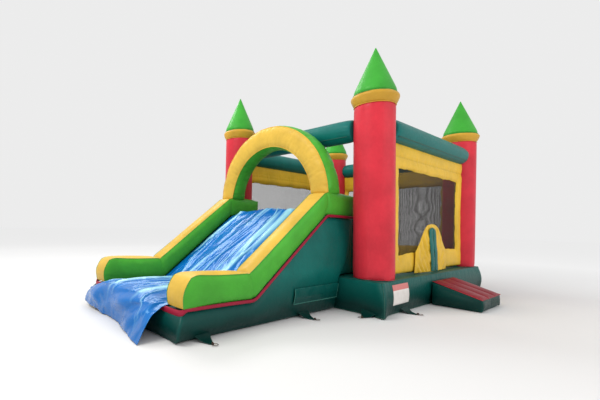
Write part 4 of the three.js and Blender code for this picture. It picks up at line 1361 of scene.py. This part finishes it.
def make_stair():
    lo, hi = low("climbing_stair"), high("climbing_stair")
    treads = 4
    rise = (DECK_Z - lo[2]) / treads
    run = (hi[0] - DECK_END) / treads
    pieces = []
    for i in range(treads + 1):
        x1 = hi[0] - run * i
        x0 = x1 - run if i < treads else lo[0]
        top = lo[2] + rise * min(i + 1, treads)

        def block(u, v, w, x0=x0, x1=x1, top=top):
            return (
                x0 + 0.004 + (x1 - x0 - 0.008) * u,
                lo[1] + 0.04 + (hi[1] - lo[1] - 0.08) * v,
                lo[2] + 0.004 + (top - lo[2] - 0.02) * w,
            )

        counts = (6, 36, max(4, round((top - lo[2]) / 0.06)))
        creases = {"size": (0.25, 2.2, 0.4), "depth": 0.005, "pitch": 0.13, "reach": 0.06, "seed": 60 + i}
        pieces.append(blown(f"step_{i}", block, counts, "dark_green", 0.014, creases, frames=12))
    bpy.ops.object.select_all(action="DESELECT")
    for piece in pieces:
        piece.select_set(True)
    bpy.context.view_layer.objects.active = pieces[0]
    bpy.ops.object.join()
    pieces[0].name = "climbing_stair_skin"
    ride(pieces[0], ROOT, "dark_green_vinyl", "climbing_stair", full=True)


# ---------------------------------------------------------------- small parts


def face_grid(node, columns, rows, tree, lift):
    """Points over the front of a CAD piece, laid on a surface behind it."""
    lo, hi = low(node), high(node)
    grid = [
        (lo[0] + (hi[0] - lo[0]) * i / columns, lo[1], lo[2] + (hi[2] - lo[2]) * j / rows)
        for i in range(columns + 1) for j in range(rows + 1)
    ]
    return laid_on(grid, tree, (0, 1, 0), lift)


def make_label(base):
    columns, rows = 26, 16
    front = face_grid("care_label", columns, rows, surface(base), 0.003)
    faces = panel_faces(np.ones((columns, rows), bool))
    points = np.concatenate([front, front + [0, 0.002, 0]])
    piece = new_object("blank_label", points, faces, MATERIAL["label"])
    layer = piece.data.uv_layers.new(name="along")
    for loop in piece.data.loops:
        i, j = divmod(loop.vertex_index % len(front), rows + 1)
        layer.data[loop.index].uv = (i / columns, j / rows)
    ride(piece, ROOT, "label_film", "care_label")


def make_zip(body):
    tree = surface(body)
    lo, hi = low("zip_cover_flap"), high("zip_cover_flap")
    tape_lo, tape_hi = low("zip_tape"), high("zip_tape")
    count, outward = 90, (0, -1, 0)
    mid_z = (tape_lo + tape_hi)[2] / 2
    along = np.linspace(tape_lo[0], tape_hi[0], count)
    line = np.stack([along, np.full(count, lo[1]), np.full(count, mid_z)], 1)
    line = laid_on(line, tree, (0, 1, 0), 0.002)
    tape = tube("zip_tape_strip", line, 0.015, "webbing", flat=0.22, up=outward)
    teeth = tube("zip_teeth", line + [0, -0.003, 0], 0.0035, "steel", sides=6)
    ride(tape, ROOT, "netting", "zip_tape")
    ride(teeth, ROOT, "netting")
    columns, rows = 60, 14
    depth = face_grid("zip_cover_flap", columns, rows, tree, 0.016)[:, 1].reshape(columns + 1, rows + 1)
    s_lo, s_hi = low("zip_slider"), high("zip_slider")
    s_mid, s_half = (s_lo + s_hi) / 2, (s_hi - s_lo) / 2

    def flap(u, v, w):
        z = lo[2] + (hi[2] - lo[2]) * v
        over_zip = bell(z, mid_z, 0.09) * np.clip(np.minimum(u, 1 - u) / 0.03, 0, 1)
        y = depth[np.rint(u * columns).astype(int), np.rint(v * rows).astype(int)]
        y = np.minimum(y, s_lo[1] - 0.012 + 0.06 * (1 - over_zip))
        wrinkle = 0.004 * np.sin(24 * u + 3 * v) * np.sin(math.pi * v) + 0.006 * bell(u, 0.62, 0.03) * v
        return lo[0] + (hi[0] - lo[0]) * u, y - wrinkle - 0.003 * (1 - w), z

    cover = soft_box("zip_cover", flap, (columns, rows, 1), MATERIAL["dark_green"])
    left, below, right = [edge_line(cover, {axis: end, 2: 0}) for axis, end in ((0, 0), (1, 0), (0, 1))]
    rim = np.concatenate([left[-2:0:-1], below, right[1:-1]])
    ride(cover, "zip_cover", "teal_vinyl", "zip_cover_flap")
    ride(tube("zip_cover_edging", rim, 0.006, "edging", flat=0.5, up=outward), "zip_cover", "teal_vinyl")

    def slider(u, v, w):
        a, b = disc(2 * u - 1, 2 * w - 1)
        y = s_lo[1] - 0.004 + 2 * s_half[1] * v
        return s_mid[0] + a * s_half[0], y, s_mid[2] + b * (1 - 0.25 * np.abs(a)) * s_half[2]

    pull = subdivide(soft_box("zip_puller", slider, (6, 2, 6), MATERIAL["steel"]))
    ride(pull, "zip_pull", "steel", "zip_slider")


def make_sleeve():
    """The blower sleeve: a gathered fabric tube with a wall, and its tie strap."""
    lo, hi = low("blower_sleeve"), high("blower_sleeve")
    centre, radius = (lo + hi) / 2, (hi - lo)[0] / 2
    strap_y = middle("sleeve_strap")[1]
    around, along = 36, 40
    share = np.linspace(0, 1, along + 1)[:, None]
    y = BASE_HIGH[1] - 0.02 + (hi[1] - BASE_HIGH[1] + 0.02) * share
    angle = circle(around)[None]
    gather = bell(y, strap_y, 0.05)
    r = radius - 0.006 - 0.010 * gather + 0.005 * np.sin(angle * 11 + share * 3) * (0.3 + gather)
    r = r + 0.004 * np.sin(share * 31)
    z = np.maximum(centre[2] - 0.002 + r * np.sin(angle), 0.002)
    outer = np.stack([centre[0] + r * np.cos(angle), np.broadcast_to(y, r.shape), z], 2)
    axis = np.stack([np.full_like(r, centre[0]), outer[..., 1], np.full_like(r, centre[2])], 2)
    inner = outer + (axis - outer) * (0.008 / radius)
    total = (along + 1) * around
    faces = []
    for i, k in np.ndindex(along, around):
        m = (k + 1) % around
        quad = (i * around + k, i * around + m, (i + 1) * around + m, (i + 1) * around + k)
        faces += [quad, [total + n for n in quad[::-1]]]
    last = along * around
    for k in range(around):
        m = (k + 1) % around
        faces.append((k, total + k, total + m, m))
        faces.append((last + k, last + m, total + last + m, total + last + k))
    points = np.concatenate([outer.reshape(-1, 3), inner.reshape(-1, 3)])
    piece = subdivide(new_object("blower_sleeve_skin", points, faces, MATERIAL["dark_green"]))
    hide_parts("blower_sleeve")
    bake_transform(piece)
    angle = circle(48)
    radial = np.stack([np.cos(angle), np.zeros(48), np.sin(angle)], 1)
    path = np.array([centre[0], strap_y, centre[2]]) + (radius - 0.008) * radial
    strap = tube("sleeve_strap_band", path, 0.018, "webbing", closed=True, flat=0.12, up=radial)
    ride(strap, "sleeve", "webbing", "sleeve_strap")


def anchor_tab(name, place, turn, body, replaced):
    """A tapered tail of doubled fabric with an eye and a ring: it runs along -Y before it is turned."""
    reach, root, tip, rise = 0.17, 0.115, 0.020, 0.07
    ring_radius = 0.034

    def tail(u, v, w):
        x = (2 * u - 1) * (root + (tip - root) * v)
        y = -reach * v + 0.02 * (1 - v)
        ripple = 0.002 * np.sin(7 * u + 2) * (1 - v)
        z = 0.0035 + rise * (1 - v) ** 3 + ripple + 0.004 * w
        return x, y, z + 0.008 * v * (1 - v) * (1 + np.sin(5 * u))

    move = Matrix.Translation(Vector(place)) @ Matrix.Rotation(turn, 4, "Z")
    piece = subdivide(soft_box(f"anchor_tail_{name}", tail, (8, 12, 1), MATERIAL["dark_green"]))
    angle, hole = circle(20), -reach - 0.004
    loop = np.stack([np.zeros(20), hole + 0.010 * np.cos(angle), 0.0125 + 0.0085 * np.sin(angle)], 1)
    eye = tube(f"anchor_eye_{name}", loop, 0.010, "webbing", closed=True, flat=0.2, up=(1, 0, 0))
    angle = circle(40)
    x, y = ring_radius * np.cos(angle), hole - ring_radius + ring_radius * np.sin(angle)
    path = np.stack([x, y, np.full(40, 0.012)], 1)
    ring = tube(f"anchor_loop_{name}", path, 0.004, "steel", closed=True, sides=10)
    for item in (piece, eye, ring):
        item.data.transform(move)
    ride(piece, ROOT, "dark_green_vinyl", *([f"anchor_tab_{name}"] if replaced else []))
    ride(eye, ROOT, "dark_green_vinyl")
    ride(ring, body, "steel", *([f"anchor_ring_{name}"] if replaced else []))


def make_anchors():
    known = {"slide_front": 0.0, "slide_rear": 0.0, "front": 0.0, "left": -math.pi / 2}
    for name, turn in known.items():
        lo, hi = low(f"anchor_tab_{name}"), high(f"anchor_tab_{name}")
        place = ((lo + hi)[0] / 2, hi[1], 0) if turn == 0 else (hi[0], (lo + hi)[1] / 2, 0)
        anchor_tab(name, place, turn, f"ring_{name}", True)
    spare = {
        "slide_far_front": (SLIDE_FRONT + 0.36, SLIDE_FAR, 0),
        "slide_far_rear": (SLIDE_TOP - 0.53, SLIDE_FAR, 0),
        "rear_left": (NEAR_X + 0.5, BASE_HIGH[1], 0),
        "rear_right": (FAR_X - 0.15, BASE_HIGH[1], 0),
    }
    for name, place in spare.items():
        anchor_tab(name, place, math.pi, ROOT, False)


# ---------------------------------------------------------------- all of it

make_camera()
make_studio()
make_towers()
base = make_base()
make_jump_mat()
make_beams()
for number, side in enumerate(("front", "rear", "right")):
    make_wall(side, 100 + 10 * number)
    make_net(side)
make_ramp()
make_doors()
body = make_slide_body()
near_edge = make_slide_wall("near", 42)
far_edge = make_slide_wall("far", 43)
make_arch()
make_trim(near_edge, far_edge)
make_cover()
make_stair()
make_label(base)
make_zip(body)
make_sleeve()
make_anchors()
for name in ("base_baffle_left", "base_baffle_right"):
    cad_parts[name].data.materials.clear()
    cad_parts[name].data.materials.append(MATERIAL["dark_green"])
